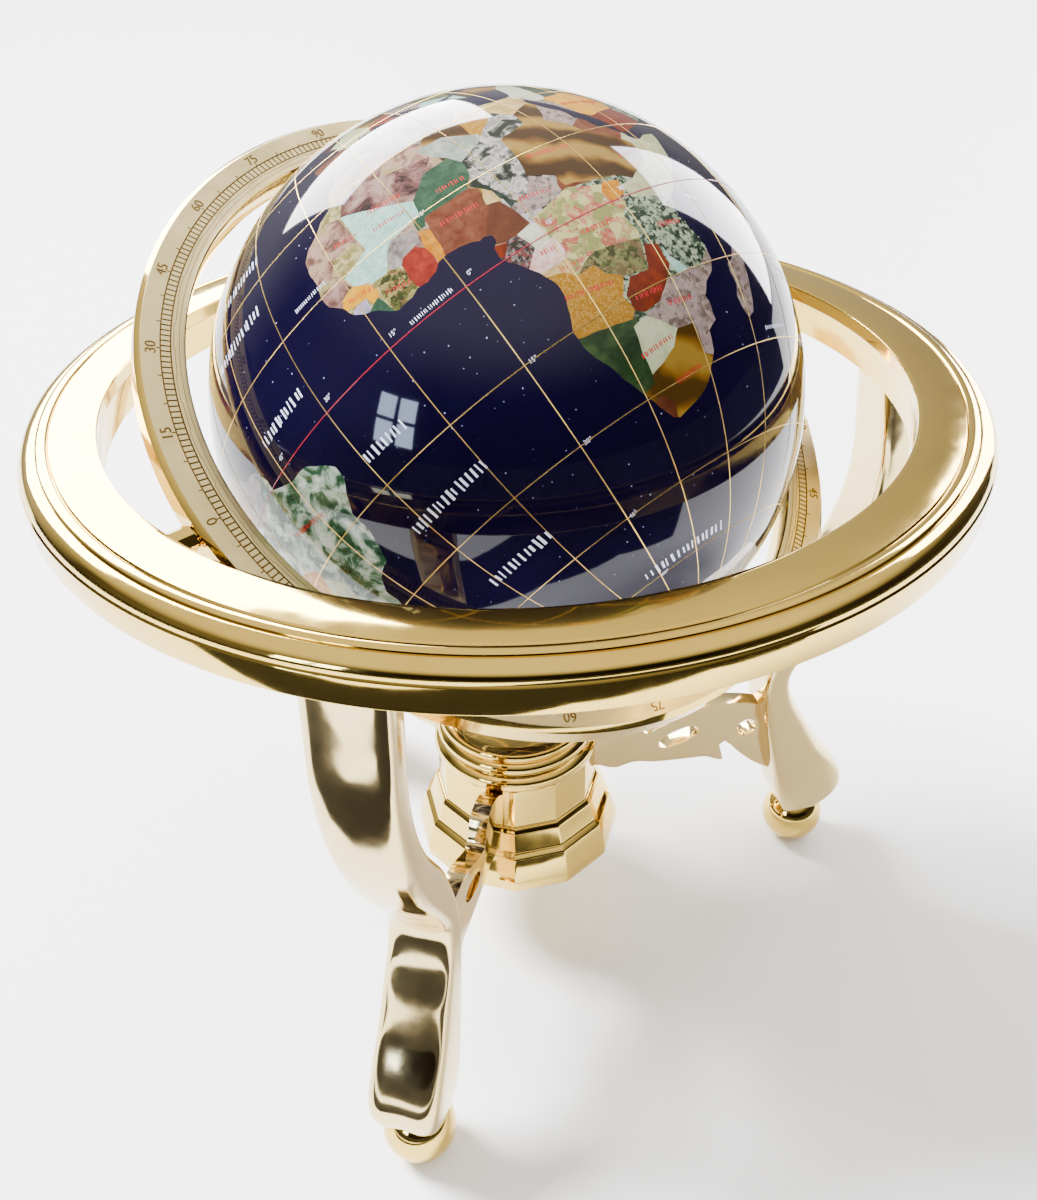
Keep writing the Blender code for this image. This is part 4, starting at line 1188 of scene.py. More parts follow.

# %% [markdown]
# Land is given as outlines in degrees of longitude and latitude, drawn from general knowledge
# at the coarseness of sawn stone. In Africa, which faces the camera, each stone has its own
# outline. Elsewhere a country is given by one or a few points, and the land is shared out to
# the nearest point, which makes straight joints like a lapidary's saw cuts.

# %% Coasts
COASTS = """
-5.9 35.8 -2.9 35.3 1.5 36.5 5 36.8 9.8 37.3 11 37 10.1 34.3 11.2 33.2 15.2 32.3 18.5 30.4 20 31
 20.2 32.5 23.1 32.5 25.1 31.6 29 30.9 32.4 31.2 32.6 29.9 33.6 28 34.5 26 35.5 24 36.9 22 37.3 20.8
 37.4 18.9 38.6 18 39.8 15.4 41.2 14.5 43.2 12.2 43.3 11.5 44.8 10.4 47.5 11.1 51.2 11.9 51 10.4
 49.8 8.2 48 4.5 46 2.4 44 1 42.5 -0.4 41.5 -1.8 40.2 -2.7 39.2 -4.7 38.8 -6.2 39.5 -7.2 39.4 -8.6
 40.4 -10.5 40.7 -12.5 40.7 -14.8 39.5 -16.5 37 -17.8 35 -19.8 35.5 -21.8 35.4 -23.9 33 -25.2
 32.8 -26.2 32.4 -28.3 31 -30 29.4 -31.7 27.5 -33.2 25.7 -34 22.5 -34.6 20 -35.2 18.4 -34.6 16.6 -32
 15.6 -29.8 14.2 -27.8 12.8 -25.5 11.6 -22.8 10.4 -20.2 9.5 -17.4 9.6 -15 10.6 -12.5 11.4 -10 11.6 -8
 11 -6 10.5 -4.7 9.4 -3 7.6 -0.8 6.7 1 7 2.6 8 3.4 8.2 4.4 7 5 5.8 4.8 4.6 5.4 3 6 1 6.1 -1 6.1
 -2 5.2 -4 4.4 -6.2 4.6 -7.6 4 -10.2 3.9 -11.6 4.8 -13.2 6.2 -15 7.2 -16.4 8.8 -17.5 10.6
 -19.2 12.6 -19.8 15 -19.4 17.5 -19.4 20 -19.2 23 -17.6 24.8 -14.6 26.4 -12.9 27.9 -11 28.9 -9.8 30
 -9.7 31.5 -8.5 33.3 -6.8 34.1
/49.3 -12 50.4 -15.5 49.6 -17 48.8 -20 47.1 -24.9 45.2 -25.5 43.7 -23.5 43.3 -21.8 44.4 -19.9 44 -17.5
 44.5 -16.2 46.3 -15.7 48 -13.6
/-9.5 38.7 -8.8 41 -9.2 43.2 -5.5 43.6 -1.8 43.4 -1.2 45.5 -2.2 47.2 -4.7 48.3 -1.6 48.7 0.2 49.6
 1.6 50.9 3.5 51.5 4.8 53 8.8 53.9 8.2 55.5 8.2 57 10.6 57.7 10.5 56.3 9.7 55 11 54 14.2 53.9 18.5 54.7
 21.1 55 21.2 57.2 24.2 57.2 23.5 59.2 28 59.5 30 60 28 60.5 23 59.9 21.4 61 21.5 63.1 25 65.1 22.2 65.7
 21 64.2 17.4 61.7 17.2 60.6 18.8 59.8 16.7 58.5 16.2 56.8 14.3 55.5 12.7 56 11.8 57.7 10.6 59.2 8 58.1
 5.6 59 5 61.5 8.5 63.5 12 65.5 14.5 68 19 69.9 25 71 31 70.3 41 67.6 40.5 66.4 34 66.7 35 64.4
 39.7 64.6 44 66 44 68.4 53.5 68.4 60 69.8 67 68.9 67 71.5 72.5 72.8 72.5 68.5 74.5 72 80.5 73.6 87 75
 98 76.3 104 77.7 113 76 113.5 73.5 127 73.5 130 71 140 72.5 152 71 161 69.7 171 70 180 69 190 66.2
 181 64.9 179 62.5 170.5 60 164 59.9 163 56 160 53 156.7 51 155.7 56.5 161 60.5 164 62.5 157 61.7 152 59
 143 59.3 135.3 54.7 141.3 53.2 140.3 48.5 135.5 44 131 42.7 127.5 39.7 129.4 37 129 35.2 126.4 34.6
 126.7 37 125 38 124.4 40 121.5 39 121.8 40.8 118 39.1 119 37.3 122.5 37.2 119.3 35 121.9 31.8 121.8 29
 119.6 25.8 116.7 23.2 113.5 22.1 110.3 20.8 108 21.6 105.9 19.5 108.8 15.3 109.2 11.8 106.7 10.3
 105 8.7 104.8 10.4 102.5 12 100.9 13.4 99.9 11.5 99.3 9.4 101 6.8 103.4 4 104.2 1.4 101.3 3 100.2 6.2
 98.3 8.2 98.6 12.2 97.6 16.3 94.4 16 94.2 18.8 92 21.2 89 21.8 86.8 21.2 85 19.5 82.3 16.7 80.2 15.5
 80 12.3 79.3 10.3 77.6 8.1 76.3 10 74.6 13.8 73 17.5 72.7 21 70.3 20.9 69 22.4 67.5 23.9 66.4 25.4
 61.6 25.1 57.2 26.9 54.5 26.6 51.2 27.9 50 30 48 30 48.6 28 50.3 26.2 51.3 24.2 54 24.1 56.3 26.2
 56.6 24.3 59.8 22.5 57.8 19 55.2 17.4 52.2 15.6 48.5 14 45 12.8 43.4 12.7 42.7 15.5 42.3 17 39.1 21.5
 38 24 35.2 28 34.9 29.5 34.2 27.8 32.7 29.9 32.5 31.2 34.2 31.3 35 33 36 35.5 36.2 36.7 33.5 36.2
 30.6 36.8 28 36.7 26.3 38.3 26.2 40 29 40.5 29 41.2 33 42 36.5 41.3 41.5 41.5 39 44 37 45.3 39 47.2
 35.2 46.3 33.5 44.5 32.5 46 30 45.8 28.6 43.5 28 42 28.8 41.3 26 40.8 23.5 40.3 24 38 23 36.5 21.5 37
 20.3 39.3 19.4 41.8 15.2 44.2 13.7 45.5 12.4 44.8 14 42.5 18.4 40.2 16.8 39.5 16 38 15.5 40 12.3 41.7
 10.3 43.3 8.7 44.4 6.5 43.1 4 43.5 3.1 42.3 0.5 40.8 -0.2 38.8 -2.2 36.8 -5.5 36.1 -8.9 37
/-5.6 50.1 1.3 51.2 1.7 52.7 0.2 53 -1.6 55.6 -2.1 57.6 -4 57.7 -3.1 58.6 -5 58.6 -5.8 57 -4.7 55
 -3 54.2 -4.5 53 -5.2 51.8 -3.2 51.4
/-10 51.6 -6.4 52.2 -5.6 54.6 -7.3 55.3 -10 54.2
/-22.5 63.9 -18.7 63.4 -14 64.7 -16 66.4 -24 65.5
/-73 78.2 -66 80.5 -55 82.2 -35 83.5 -22 82 -19 78 -20 74 -23 70.4 -32 68.2 -40 65 -43.5 60 -48 61
 -52 65.5 -54 69.5 -58 75 -68 76
/-168 65.6 -163 66.5 -166 68.4 -156.6 71.3 -141 69.6 -128 70.3 -115 68.3 -108 67.8 -95 68 -94 71.5
 -85 69.5 -81.5 67.5 -87 64.5 -94 61 -94.5 58.7 -88 56.5 -82.3 55.2 -82 52.8 -79 51.4 -79 54.6 -77 57
 -78 62.3 -73.5 62.3 -64.5 60.3 -61.5 57 -56 52 -60 50.2 -67 49.8 -70 47 -65 49 -64.5 46.5 -60 46.2
 -66.1 43.7 -66.5 45.1 -70 43.7 -70.6 41.9 -74 40.6 -75.8 35.4 -79 33.4 -81.3 31.5 -80.1 27 -80.6 25.2
 -82.7 27.6 -84 30 -88 30.3 -90.3 29.2 -94 29.6 -97.3 27.5 -97.7 22.5 -95.8 18.8 -92 18.5 -90.4 21
 -87 21.5 -88.7 15.8 -83.3 15 -83.6 11 -81.5 9 -79.5 9.6 -77.3 8.6 -77.9 7.4 -80.3 7.4 -83 8.3
 -85.8 10.3 -87.6 13 -92 14.3 -94.8 16.2 -99.8 16.7 -105.5 20.4 -106.5 23.5 -109.4 26 -112.8 30
 -114.8 31.7 -112.8 28 -109.5 23.1 -112 25 -115 28 -117.2 32.6 -120.6 34.6 -124 39.5 -124 47.5 -128 51
 -131 55 -136 58.5 -144 60 -151 60 -154 58.5 -162 55 -158 58 -162 60 -165.5 62 -161.5 64.3
/-62 66.8 -68 70.3 -80 73.7 -90 73.5 -88 70.8 -73 67.5 -78 64.8 -66 62.2
/-105 69 -117 70.5 -117 73.2 -105 73.5 -101 70
/-62 82.5 -80 83 -92 81.5 -88 77 -78 76.3 -74 79
/-84.9 21.9 -80 23.1 -74.2 20.2 -77.6 19.9
/-74.4 18.5 -73 19.9 -69 19.3 -68.4 18.5
/-77.3 8.6 -75.5 10.7 -71.7 12.4 -62 10.7 -60 8.5 -57 6 -52 4.7 -50 1.8 -50 -0.5 -44.3 -2.6 -40 -2.9
 -37 -4.8 -34.9 -7 -35.2 -9.5 -37.5 -12 -39 -14 -39.2 -17.6 -40.8 -21 -42 -23 -46.5 -24.2 -48.6 -26
 -48.8 -28.6 -52.2 -32.2 -55 -34.9 -58.3 -34 -57 -36.5 -62.2 -38.9 -65 -41 -63.7 -42.7 -67.4 -46
 -65.9 -47.9 -69 -50.5 -68.4 -52.4 -65.2 -54.7 -69 -55.4 -74.5 -52.5 -75.5 -47 -73 -42 -73.6 -37.3
 -71.5 -32.5 -70.4 -27 -70.3 -18.4 -76 -14 -79 -8.2 -81.3 -4.7 -80 -2.8 -80.9 -0.9 -78.8 1.4 -77.3 4
 -77.9 7.3
/114 -22 113.5 -26 115.7 -31.8 115 -34.3 118 -35 123.5 -33.9 129 -31.7 135.2 -34.7 138 -33 140.5 -38
 146.4 -39 150 -37.3 152.5 -32.5 153.5 -28.5 153 -25.2 149 -20.5 146 -18.7 145.3 -15 142.5 -10.8
 141.5 -14 140.8 -17.5 136 -15.5 136.8 -12.2 132.5 -11.3 129.5 -14.9 126 -14 122.2 -17.7 118 -20.3
/144.7 -40.8 148.3 -40.9 147.8 -43.4 146 -43.5
/172.8 -34.5 175.5 -36.8 178.4 -37.8 174.8 -41.4 174 -39.3
/172.8 -40.6 174.2 -41.6 171 -44.3 168.3 -46.6 166.6 -45.9 171.3 -42.2
/131 -0.8 134 -0.8 135 -3.2 138 -1.7 144.5 -3.9 147.8 -6 150.7 -10.3 147 -9.4 143.5 -8.6 139 -8 137.8 -5.3
 133 -4
/109 1.5 111.4 2.7 116 6.5 119 5.2 117.6 1 116 -4 111.5 -3.4 109.2 -0.5
/95.3 5.6 98.5 3.7 103.7 -1 105.8 -5.8 102.3 -4 98.6 1.7
/105.5 -6.8 112.7 -7 114.4 -8.6 108.5 -7.8
/119.7 0.8 125 1.5 120.9 0.4 123 -1 121.5 -2 122.8 -4.6 120.5 -3 120.4 -5.6 119.5 -5.5 118.9 -2.7
/120.5 18.4 122.2 18.4 121.6 15.9 124 12.7 121 13.7 120 15.8
/122 7 125.5 9.7 126.4 7.2 125.5 5.7
/130.9 34 133 35.5 136.7 37 139 38 140 40.8 141.4 41.3 142 39.5 140.8 36 135.8 33.5
/140.2 41.8 141.7 45.4 145.3 43.6
/130 33.2 131.9 33 131.3 31.3
/79.8 9.6 81.8 7.5 80.6 6
/142.2 46 143.5 49.3 142.7 54.3 142 51
/51.5 71.5 55.5 75 68.5 76.9 57.5 70.7
/11 79 20 80.5 27 80 17 76.6
/-169 -78 -150 -77 -130 -74.5 -100 -73 -75 -73 -67 -68 -57 -63.5 -61 -70 -60 -75 -40 -78 -25 -76
 -10 -71 10 -70 35 -69 50 -66.5 70 -69 90 -66.5 110 -66 130 -66.3 145 -67 165 -71 170 -78 191 -78
 191 -90 -169 -90
"""
CASPIAN = "47.5 44.5 49 46.3 53 46.7 53 45 51 44.3 53 42 53.8 39 53.8 37 51 36.9 49 37.8 49.3 40.3 47.7 42.8"


def outline(text):
    """Points (longitude, latitude) from a row of numbers."""
    numbers = [float(n) for n in text.split()]
    return list(zip(numbers[::2], numbers[1::2]))


coasts = [outline(text) for text in COASTS.split("/")]
caspian = outline(CASPIAN)
print("coast outlines:", len(coasts), "points:", sum(len(c) for c in coasts))

# %% Stones of Africa
AFRICA = """
black_jade 11 14.5 13 13 14.5 7.5 13.5 7 13 11.5 11 13.5
/buff_onyx 12 13 13 11.5 13 9 10.5 9.5
/amazonite -9.5 25.5 0 19.5 2 18 1.5 15.5 -1.5 14.5 -5 14.5 -7 12.5 -8.5 10 -11 10.5 -14 12.5 -14.5 14.5 -9 16
/serpentine 6.5 22 11.5 22 13 19.5 12 16 10 14 5 14 2 14 1 12.5 -0.5 12.5 0 14.5 1.5 15.5 2 18 4 19.5
/salmon_jasper 11.5 13 10.5 10 9.5 8 7 4 0.5 4 0.5 6.5 1 11.5 2 14 5 14 10 14
/amber_jasper -0.5 12.5 1 11.5 0.5 5 -1.4 5 -1 6.5 -1.5 10
/red_jasper -2.5 11 -1 9 -1.2 5 -4 3 -5.6 4.2 -6 5 -6 9.5 -5 10.5
/grey_marble -5 14.5 -0.5 13.5 -1.5 11 -2.5 11 -5 10.5 -6 9.5 -8 10 -7 12.5
/epidote_granite -8 10 -6 9 -5.6 4 -7.5 3 -10 3 -11 5 -10.5 9.5 -9 10
/serpentine -11.5 8 -11 5 -10.2 3 -12.5 4 -15 6.5 -13 7.5
/yellow_calcite -14 12.5 -12 11 -10.8 9 -11.5 7.5 -13 7.5 -13.5 9 -15 9.5 -18 10 -17 12
/lilac_lepidolite -15 9.5 -13.5 9 -14 6 -17 6.5 -16 9
/olive_jasper -10 19 -9 16 -13.5 14.5 -16 16.5 -14.5 19
/umber_jasper -19 15.5 -15 15.5 -14.4 12.5 -17 12 -19 9 -22 13
/dusty_rhyolite -21 24 -14 26.5 -10 25.5 -9 16 -13.5 14.5 -15 15.5 -21 17.5
/umber_jasper -8 28 -2 28 7 25 9.5 24.5 6.5 22 4 19.5 2 18 0 19.5 -9.5 25.5
/sage_marble 8.5 27.5 14 27.5 19.5 23.5 18.5 22 13 19.5 11.5 22 9.5 24.5
/zebra_agate 13 19.5 18.5 22 20.5 18.5 20.5 15.5 19.5 11 17 9 14 7 13 12 10.5 14 12 16
/brown_jasper 10.5 10 12.5 9.5 13.5 6.5 14 3 11.5 2.5 9 2.5 7.4 3 6.6 4.6 7 6 9.5 8
/mahogany_jasper 7 3 9 2.4 7.5 0.5 5 1.5
/speckled_gabbro 9 2.5 11.5 2.5 12 -1 9.5 -3.4 6 -1 6.5 1
/white_howlite 11.5 2.5 14.5 3 15.5 1 15 -1.5 12 -1 11.5 1
/pink_quartz 11.5 -1 15 -1.5 14 -3.5 10.5 -5 8.5 -3.5
/amber_jasper 29.5 4 32.5 3 31.5 0.5 28.5 0 28 2
/tiger_eye 21.5 20 29.5 22 34.5 18 36 14.5 39 13 42.5 9.5 41.5 5.5 35.5 2.5 33 4 23.5 6 23 8.5 19.5 10.5
 20.5 15.5
/cream_onyx 45.5 13 53 13 50 5 41 -3 36.5 -1.5 32.5 -0.5 32 2 35.5 2.5 41.5 5.5 42.5 9.5
/green_granite 30.5 -1 36 -2 44 -3 42 -12 37 -15.5 34.5 -15 33.5 -10 29 -6.5 28.5 -3
/amazonite 31.5 -10 32 -12 34 -15 31.5 -15 31.2 -12.5
/mahogany_jasper 28.5 -8.5 31 -9.5 31 -13 29 -15 25.5 -17.5 22.5 -18 20.5 -17 20.5 -14.5 23 -12 26.5 -12.5
/mauve_marble 29 -15 43 -14 42 -20 36 -26 30 -28 30 -23 26.5 -22.5 22 -18.5 25.5 -17.5
/cream_jade 19 -19 22 -18.5 26.5 -22.5 24 -25 18 -27 18 -23.5
/brown_jasper 16 -31 18.5 -31 20 -33 19 -36.5 16 -36 15 -33
/gold_tiger_eye 26.5 -22.5 30 -23 30 -28 34 -30 27 -37 15 -37 15.5 -33 14 -30 15 -29 17.5 -28.5 18 -27 24 -25
/nephrite 8 -16.2 19.5 -18 22 -18 19 -19 18 -23.5 18 -27 17.5 -28.5 14.5 -31 9 -25
/sand_jasper 9 -5 14 -7 15 -8 18.5 -8 19.5 -10 22 -11.5 20 -14.5 20.5 -17 19.5 -18 8 -16.2
/moss_unakite 15 -8 20 -6 28.5 -7.5 26.5 -12.5 22 -11.5 19.5 -10 18.5 -8
/unakite 15 3.5 23 5.5 29 3.5 30.5 -1 29 -6.5 28.5 -7.5 20 -6 15 -8 16 -3 15.5 -1
/pink_quartz 10 0.5 15.5 -1 16 -3 15.5 -5 10 -5
/buff_onyx 15.5 -5 15 -8 9 -6 10 -4
/mauve_marble 19.5 10.5 22.5 8 22 4.5 16 4.5 13 5.5 13.5 7 17 7.5
"""
african_stones = []
for row in AFRICA.split("/"):
    name, numbers = row.strip().split(" ", 1)
    african_stones.append((name, outline(numbers)))

# %% Stones of the other lands
SEEDS = """
dusty_rhyolite -6 32 olive_jasper -12 29 umber_jasper 0 32 dusty_rhyolite 5 29 grey_marble 9.5 34
tiger_eye 16 29 sand_jasper 22 28 zebra_agate 25 24 buff_onyx 29 28 tiger_eye 31 23 mauve_marble 34 21
salmon_jasper 38 14 cream_onyx 44 8 cream_onyx 48 9 green_granite 38 -4 mauve_marble 46.5 -19
salmon_jasper -4 40 cream_jade 2.5 47 tiger_eye 10.5 51 red_jasper 12.5 43 nephrite 19.5 52
buff_onyx 32 49 moss_unakite 25 46 amazonite 22 39.5 mauve_marble 18 45 serpentine 9 61
serpentine 18 68 sand_jasper 15 60 yellow_calcite 18 65 zebra_agate 26 63 salmon_jasper -2 53
umber_jasper -8 53 white_howlite -19 65 mother_of_pearl -42 73 unakite 42 56 unakite 55 61
unakite 75 63 unakite 95 61 unakite 115 62 unakite 135 64 unakite 160 66 unakite 132 50
tiger_eye 34 39 cream_onyx 67 48 red_jasper 54 32 nephrite 43.5 33 yellow_calcite 45 24
mahogany_jasper 47 15.5 green_granite 57 20.5 white_howlite 38 34 brown_jasper 66 34 sage_marble 69 28
amber_jasper 79 22 amber_jasper 77 14 amber_jasper 76 29 amazonite 84 28.4 salmon_jasper 103 33
salmon_jasper 88 40 salmon_jasper 90 31 salmon_jasper 115 29 salmon_jasper 114 38 salmon_jasper 125 46
nephrite 103 46.5 cream_jade 127 37 white_howlite 138 37 moss_agate 96 20 sand_jasper 101 15.5
red_jasper 107 15 serpentine 102 5 amber_jasper 101 0 mauve_marble 113 0 olive_jasper 108 -7.5
nephrite 121 -2 buff_onyx 121 17 tiger_eye 125 8 red_jasper 134 -3 cream_onyx 144 -6
yellow_calcite 121 -26 zebra_agate 133.5 -20 salmon_jasper 134.5 -30 serpentine 145 -22
tiger_eye 147 -32 amazonite 144.5 -37 nephrite 173 -40 sand_jasper 80.7 7.8 mother_of_pearl 60 73
mother_of_pearl 20 79 tiger_eye -153 65 nephrite -125 58 mauve_marble -112 57 sand_jasper -98 55
amber_jasper -84 50 green_granite -72 54 cream_onyx -110 67 amazonite -66 46 white_howlite -75 68
sage_marble -110 71 mother_of_pearl -80 80 salmon_jasper -120 44 red_jasper -109 41 buff_onyx -99 41
moss_unakite -89 40 tiger_eye -78 40 sand_jasper -100 31 brown_jasper -84 33 yellow_calcite -104 25
cream_jade -96 18 mahogany_jasper -87 14.5 serpentine -82 9 amber_jasper -79 22 pink_quartz -71 19
umber_jasper -73 4 sand_jasper -66 7 grey_marble -56 4 pink_quartz -78.5 -1.5 salmon_jasper -75 -9.5
moss_agate -52 -1 moss_agate -45 -8 moss_agate -50 -16 moss_agate -60 -7 moss_agate -53 -25
amber_jasper -64.5 -17 cream_jade -58.5 -23.2 mahogany_jasper -72.3 -30 mahogany_jasper -73.5 -46
tiger_eye -65 -31 buff_onyx -68 -44 amazonite -56 -33 mother_of_pearl 0 -80 mother_of_pearl 90 -80
mother_of_pearl 170 -80 mother_of_pearl -100 -80
"""
words = SEEDS.split()
seeds = [(words[i], float(words[i + 1]), float(words[i + 2])) for i in range(0, len(words), 3)]
print("seeds:", len(seeds))

# %% [markdown]
# The sphere is one closed skin. All outlines and joints go into a flat map as fixed edges,
# a triangulation fills the map without crossing any of them, and the map is wrapped onto the
# sphere. Each triangle then belongs wholly to one stone or to the resin. The shading normals
# point straight out from the centre, because the real ball is polished after the inlay.

# %% Lay out the map
MAP_WEST = -169.0
MAP_EAST = 191.0
GRID_STEP = 2.4
LONGEST_EDGE = 0.9
CELL_REACH = 40.0
NEIGHBOURS = 16
JOINT_LIMIT = 84
BORE_RADIUS = 3.6
POLE_LATITUDE = degrees(atan2(sqrt(GLOBE_RADIUS**2 - BORE_RADIUS**2), BORE_RADIUS))

map_points = []
map_edges = []


def draw_line(start, end):
    """Add a fixed line to the map in short pieces."""
    pieces = max(1, ceil((Vector(end) - Vector(start)).length / LONGEST_EDGE))
    first = len(map_points)
    for k in range(pieces + 1):
        map_points.append(Vector(start).lerp(Vector(end), k / pieces))
    map_edges.extend((first + k, first + k + 1) for k in range(pieces))


def clip(polygon, point, normal):
    """Part of a polygon on the near side of a line through a point."""
    kept = []
    for a, b in zip(polygon, polygon[1:] + polygon[:1]):
        side_a = (a - point).dot(normal)
        side_b = (b - point).dot(normal)
        if side_a <= 0:
            kept.append(a)
        if side_a * side_b < 0:
            kept.append(a.lerp(b, side_a / (side_a - side_b)))
    return kept


for polygon in coasts + [caspian] + [shape for _, shape in african_stones]:
    inside = []
    for x, y in polygon:
        inside.append((max(MAP_WEST, min(MAP_EAST, x)), max(-POLE_LATITUDE, min(POLE_LATITUDE, y))))
    for a, b in zip(inside, inside[1:] + inside[:1]):
        draw_line(a, b)
for number, (_, x, y) in enumerate(seeds):
    home = Vector((x, y))
    cell = [home + Vector(corner) * CELL_REACH for corner in SQUARE]
    reach = sorted((Vector((ox, oy)) - home).length for _, ox, oy in seeds)[NEIGHBOURS]
    for _, ox, oy in seeds:
        gap = Vector((ox, oy)) - home
        if 0 < gap.length <= reach:
            cell = clip(cell, home + gap / 2, gap)
    for a, b in zip(cell, cell[1:] + cell[:1]):
        middle = (a + b) / 2
        ranked = sorted(seeds, key=lambda s: (Vector((s[1], s[2])) - middle).length)[:2]
        first = min(seeds.index(seed) for seed in ranked)
        on_map = all(abs(p.y) < JOINT_LIMIT and MAP_WEST < p.x < MAP_EAST for p in (a, b))
        if ranked[0][0] != ranked[1][0] and number == first and on_map:
            draw_line(a, b)
columns = round((MAP_EAST - MAP_WEST) / GRID_STEP)
rows = round(2 * POLE_LATITUDE / GRID_STEP)
for column in range(columns + 1):
    for row in range(rows + 1):
        x = MAP_WEST + (MAP_EAST - MAP_WEST) * column / columns
        map_points.append(Vector((x, POLE_LATITUDE * (2 * row / rows - 1))))
flat_points, _, flat_faces, _, _, _ = delaunay_2d_cdt(map_points, map_edges, [], 0, 1e-4)
print("map points:", len(flat_points), "triangles:", len(flat_faces))


# %% Give each triangle its stone
def boxed(shape):
    """Outline with its bounding box, so that most tests stop early."""
    xs, ys = zip(*shape)
    return min(xs), max(xs), min(ys), max(ys), shape


def holds(box, x, y):
    """True where a point lies inside an outline."""
    west, east, south, north, shape = box
    if not (west <= x <= east and south <= y <= north):
        return False
    inside = False
    for (ax, ay), (bx, by) in zip(shape, shape[1:] + shape[:1]):
        if (ay > y) != (by > y) and x < (bx - ax) * (y - ay) / (by - ay) + ax:
            inside = not inside
    return inside


coast_boxes = [boxed(shape) for shape in coasts]
caspian_box = boxed(caspian)
african_boxes = [(name, boxed(shape)) for name, shape in african_stones]


def stone_at(x, y):
    """Material number at a place on the map: 0 is resin."""
    if not any(holds(box, x, y) for box in coast_boxes) or holds(caspian_box, x, y):
        return 0
    for name, box in african_boxes:
        if holds(box, x, y):
            return 1 + stone_order.index(name)
    nearest = min(seeds, key=lambda seed: (seed[1] - x) ** 2 + (seed[2] - y) ** 2)
    return 1 + stone_order.index(nearest[0])


def on_globe(longitude, latitude, radius=GLOBE_RADIUS):
    """Point of the globe in its own frame, in millimetres."""
    a, b = radians(longitude), radians(latitude)
    return Vector((cos(b) * cos(a), cos(b) * sin(a), sin(b))) * radius


# %% Wrap the map onto the sphere
WANDER = 0.75
WANDER_LENGTH = 5.5
WANDER_SEED = 5
seed_set(WANDER_SEED)
BORE_DEPTH = 7.0
MERGE_WITHIN = 0.002


def hand_cut(longitude, latitude):
    """Point of the globe, shifted a little along the surface, so that saw cuts aren't straight."""
    point = on_globe(longitude, latitude)
    shift = noise_vector(point / WANDER_LENGTH) * WANDER * cos(radians(latitude))
    return (point + shift).normalized() * GLOBE_RADIUS


builder = bmesh.new()
verts = [builder.verts.new(hand_cut(point.x, point.y)) for point in flat_points]
for triangle in flat_faces:
    x, y = (sum(flat_points[i][axis] for i in triangle) / 3 for axis in (0, 1))
    try:
        face = builder.faces.new([verts[i] for i in triangle])
    except ValueError:
        continue
    face.material_index = stone_at(x, y)
bmesh.ops.remove_doubles(builder, verts=builder.verts, dist=MERGE_WITHIN)
rims = [edge for edge in builder.edges if edge.is_boundary]
walls = bmesh.ops.extrude_edge_only(builder, edges=rims)
bore_verts = [item for item in walls["geom"] if isinstance(item, bmesh.types.BMVert)]
for vert in bore_verts:
    vert.co.z -= BORE_DEPTH * (1 if vert.co.z > 0 else -1)
bore_edges = [item for item in walls["geom"] if isinstance(item, bmesh.types.BMEdge)]
bmesh.ops.holes_fill(builder, edges=bore_edges, sides=0)
globe = add_piece("globe_inlaid", builder, [resin, *stone_finishes.values()], globe_place)
middle = CENTRE * MM
outward = [(vert.co - middle).normalized() for vert in globe.data.vertices]
globe.data.normals_split_custom_set_from_vertices(outward)
belongs(globe, "sphere", "inlaid_globe", "globe")

# %% [markdown]
# Brass wires mark every fifteenth degree. On the real ball they are hammered into sawn
# grooves and polished flush, so here they stand under a tenth of a millimetre proud. One
# node tree makes a stack of circles from a first angle, a step and a count, and another makes
# the circles through the poles. The equator is a thin red line.

# %% Wires
brass = {"Base Color": linear("#F4CF74"), "Metallic": 1.0, "Roughness": 0.38}
wire_gold = new_finish("polished_brass_wire", brass)[0]
red_line = new_finish("red_filled_line", {**POLISH, "Base Color": linear("#861A30")})[0]
WIRE_HALF_WIDTH = 0.19
WIRE_SINK = 0.1
WIRE_STEP = radians(15.0)
WIRE_INPUTS = (
    ("Globe Radius", "Float", GLOBE_RADIUS), ("Wire Radius", "Float", WIRE_HALF_WIDTH),
    ("Material", "Material", None),
)


def wire_hoops(tree, points, samples, given, placing):
    """End a tree with a wire hoop on every point, turned or scaled as the links in placing say."""
    hoop = curve_circle(tree, samples, given["Globe Radius"])
    links = {"Points": points, "Instance": hoop, **placing}
    hoops = first_of(tree, "GeometryNodeInstanceOnPoints", None, links)
    real = first_of(tree, "GeometryNodeRealizeInstances", None, {"Geometry": hoops})
    close_tree(tree, thicken(tree, real, given["Wire Radius"]), given["Material"])


parallel_tree, given = new_tree("parallels", (
    ("Count", "Int", 5), ("First Angle", "Float", WIRE_STEP), ("Angle Step", "Float", WIRE_STEP),
    *WIRE_INPUTS,
))
points = first_of(parallel_tree, "GeometryNodePoints", None, {"Count": given["Count"]})
number = first_of(parallel_tree, "GeometryNodeInputIndex")
angle = maths(parallel_tree, "MULTIPLY_ADD", number, given["Angle Step"], given["First Angle"])
height = maths(parallel_tree, "MULTIPLY", maths(parallel_tree, "SINE", angle), given["Globe Radius"])
spot = first_of(parallel_tree, "ShaderNodeCombineXYZ", None, {"Z": height})
moved = first_of(parallel_tree, "GeometryNodeSetPosition", None, {"Geometry": points, "Position": spot})
wire_hoops(parallel_tree, moved, 180, given, {"Scale": maths(parallel_tree, "COSINE", angle)})

meridian_tree, given = new_tree("meridians", (("Count", "Int", 12), *WIRE_INPUTS))
points = first_of(meridian_tree, "GeometryNodePoints", None, {"Count": given["Count"]})
number = first_of(meridian_tree, "GeometryNodeInputIndex")
angle = maths(meridian_tree, "MULTIPLY", maths(meridian_tree, "DIVIDE", number, given["Count"]), pi)
turning = first_of(meridian_tree, "ShaderNodeCombineXYZ", {"X": pi / 2}, {"Z": angle})
spin = first_of(meridian_tree, "FunctionNodeEulerToRotation", None, {0: turning})
wire_hoops(meridian_tree, points, 240, given, {"Rotation": spin})

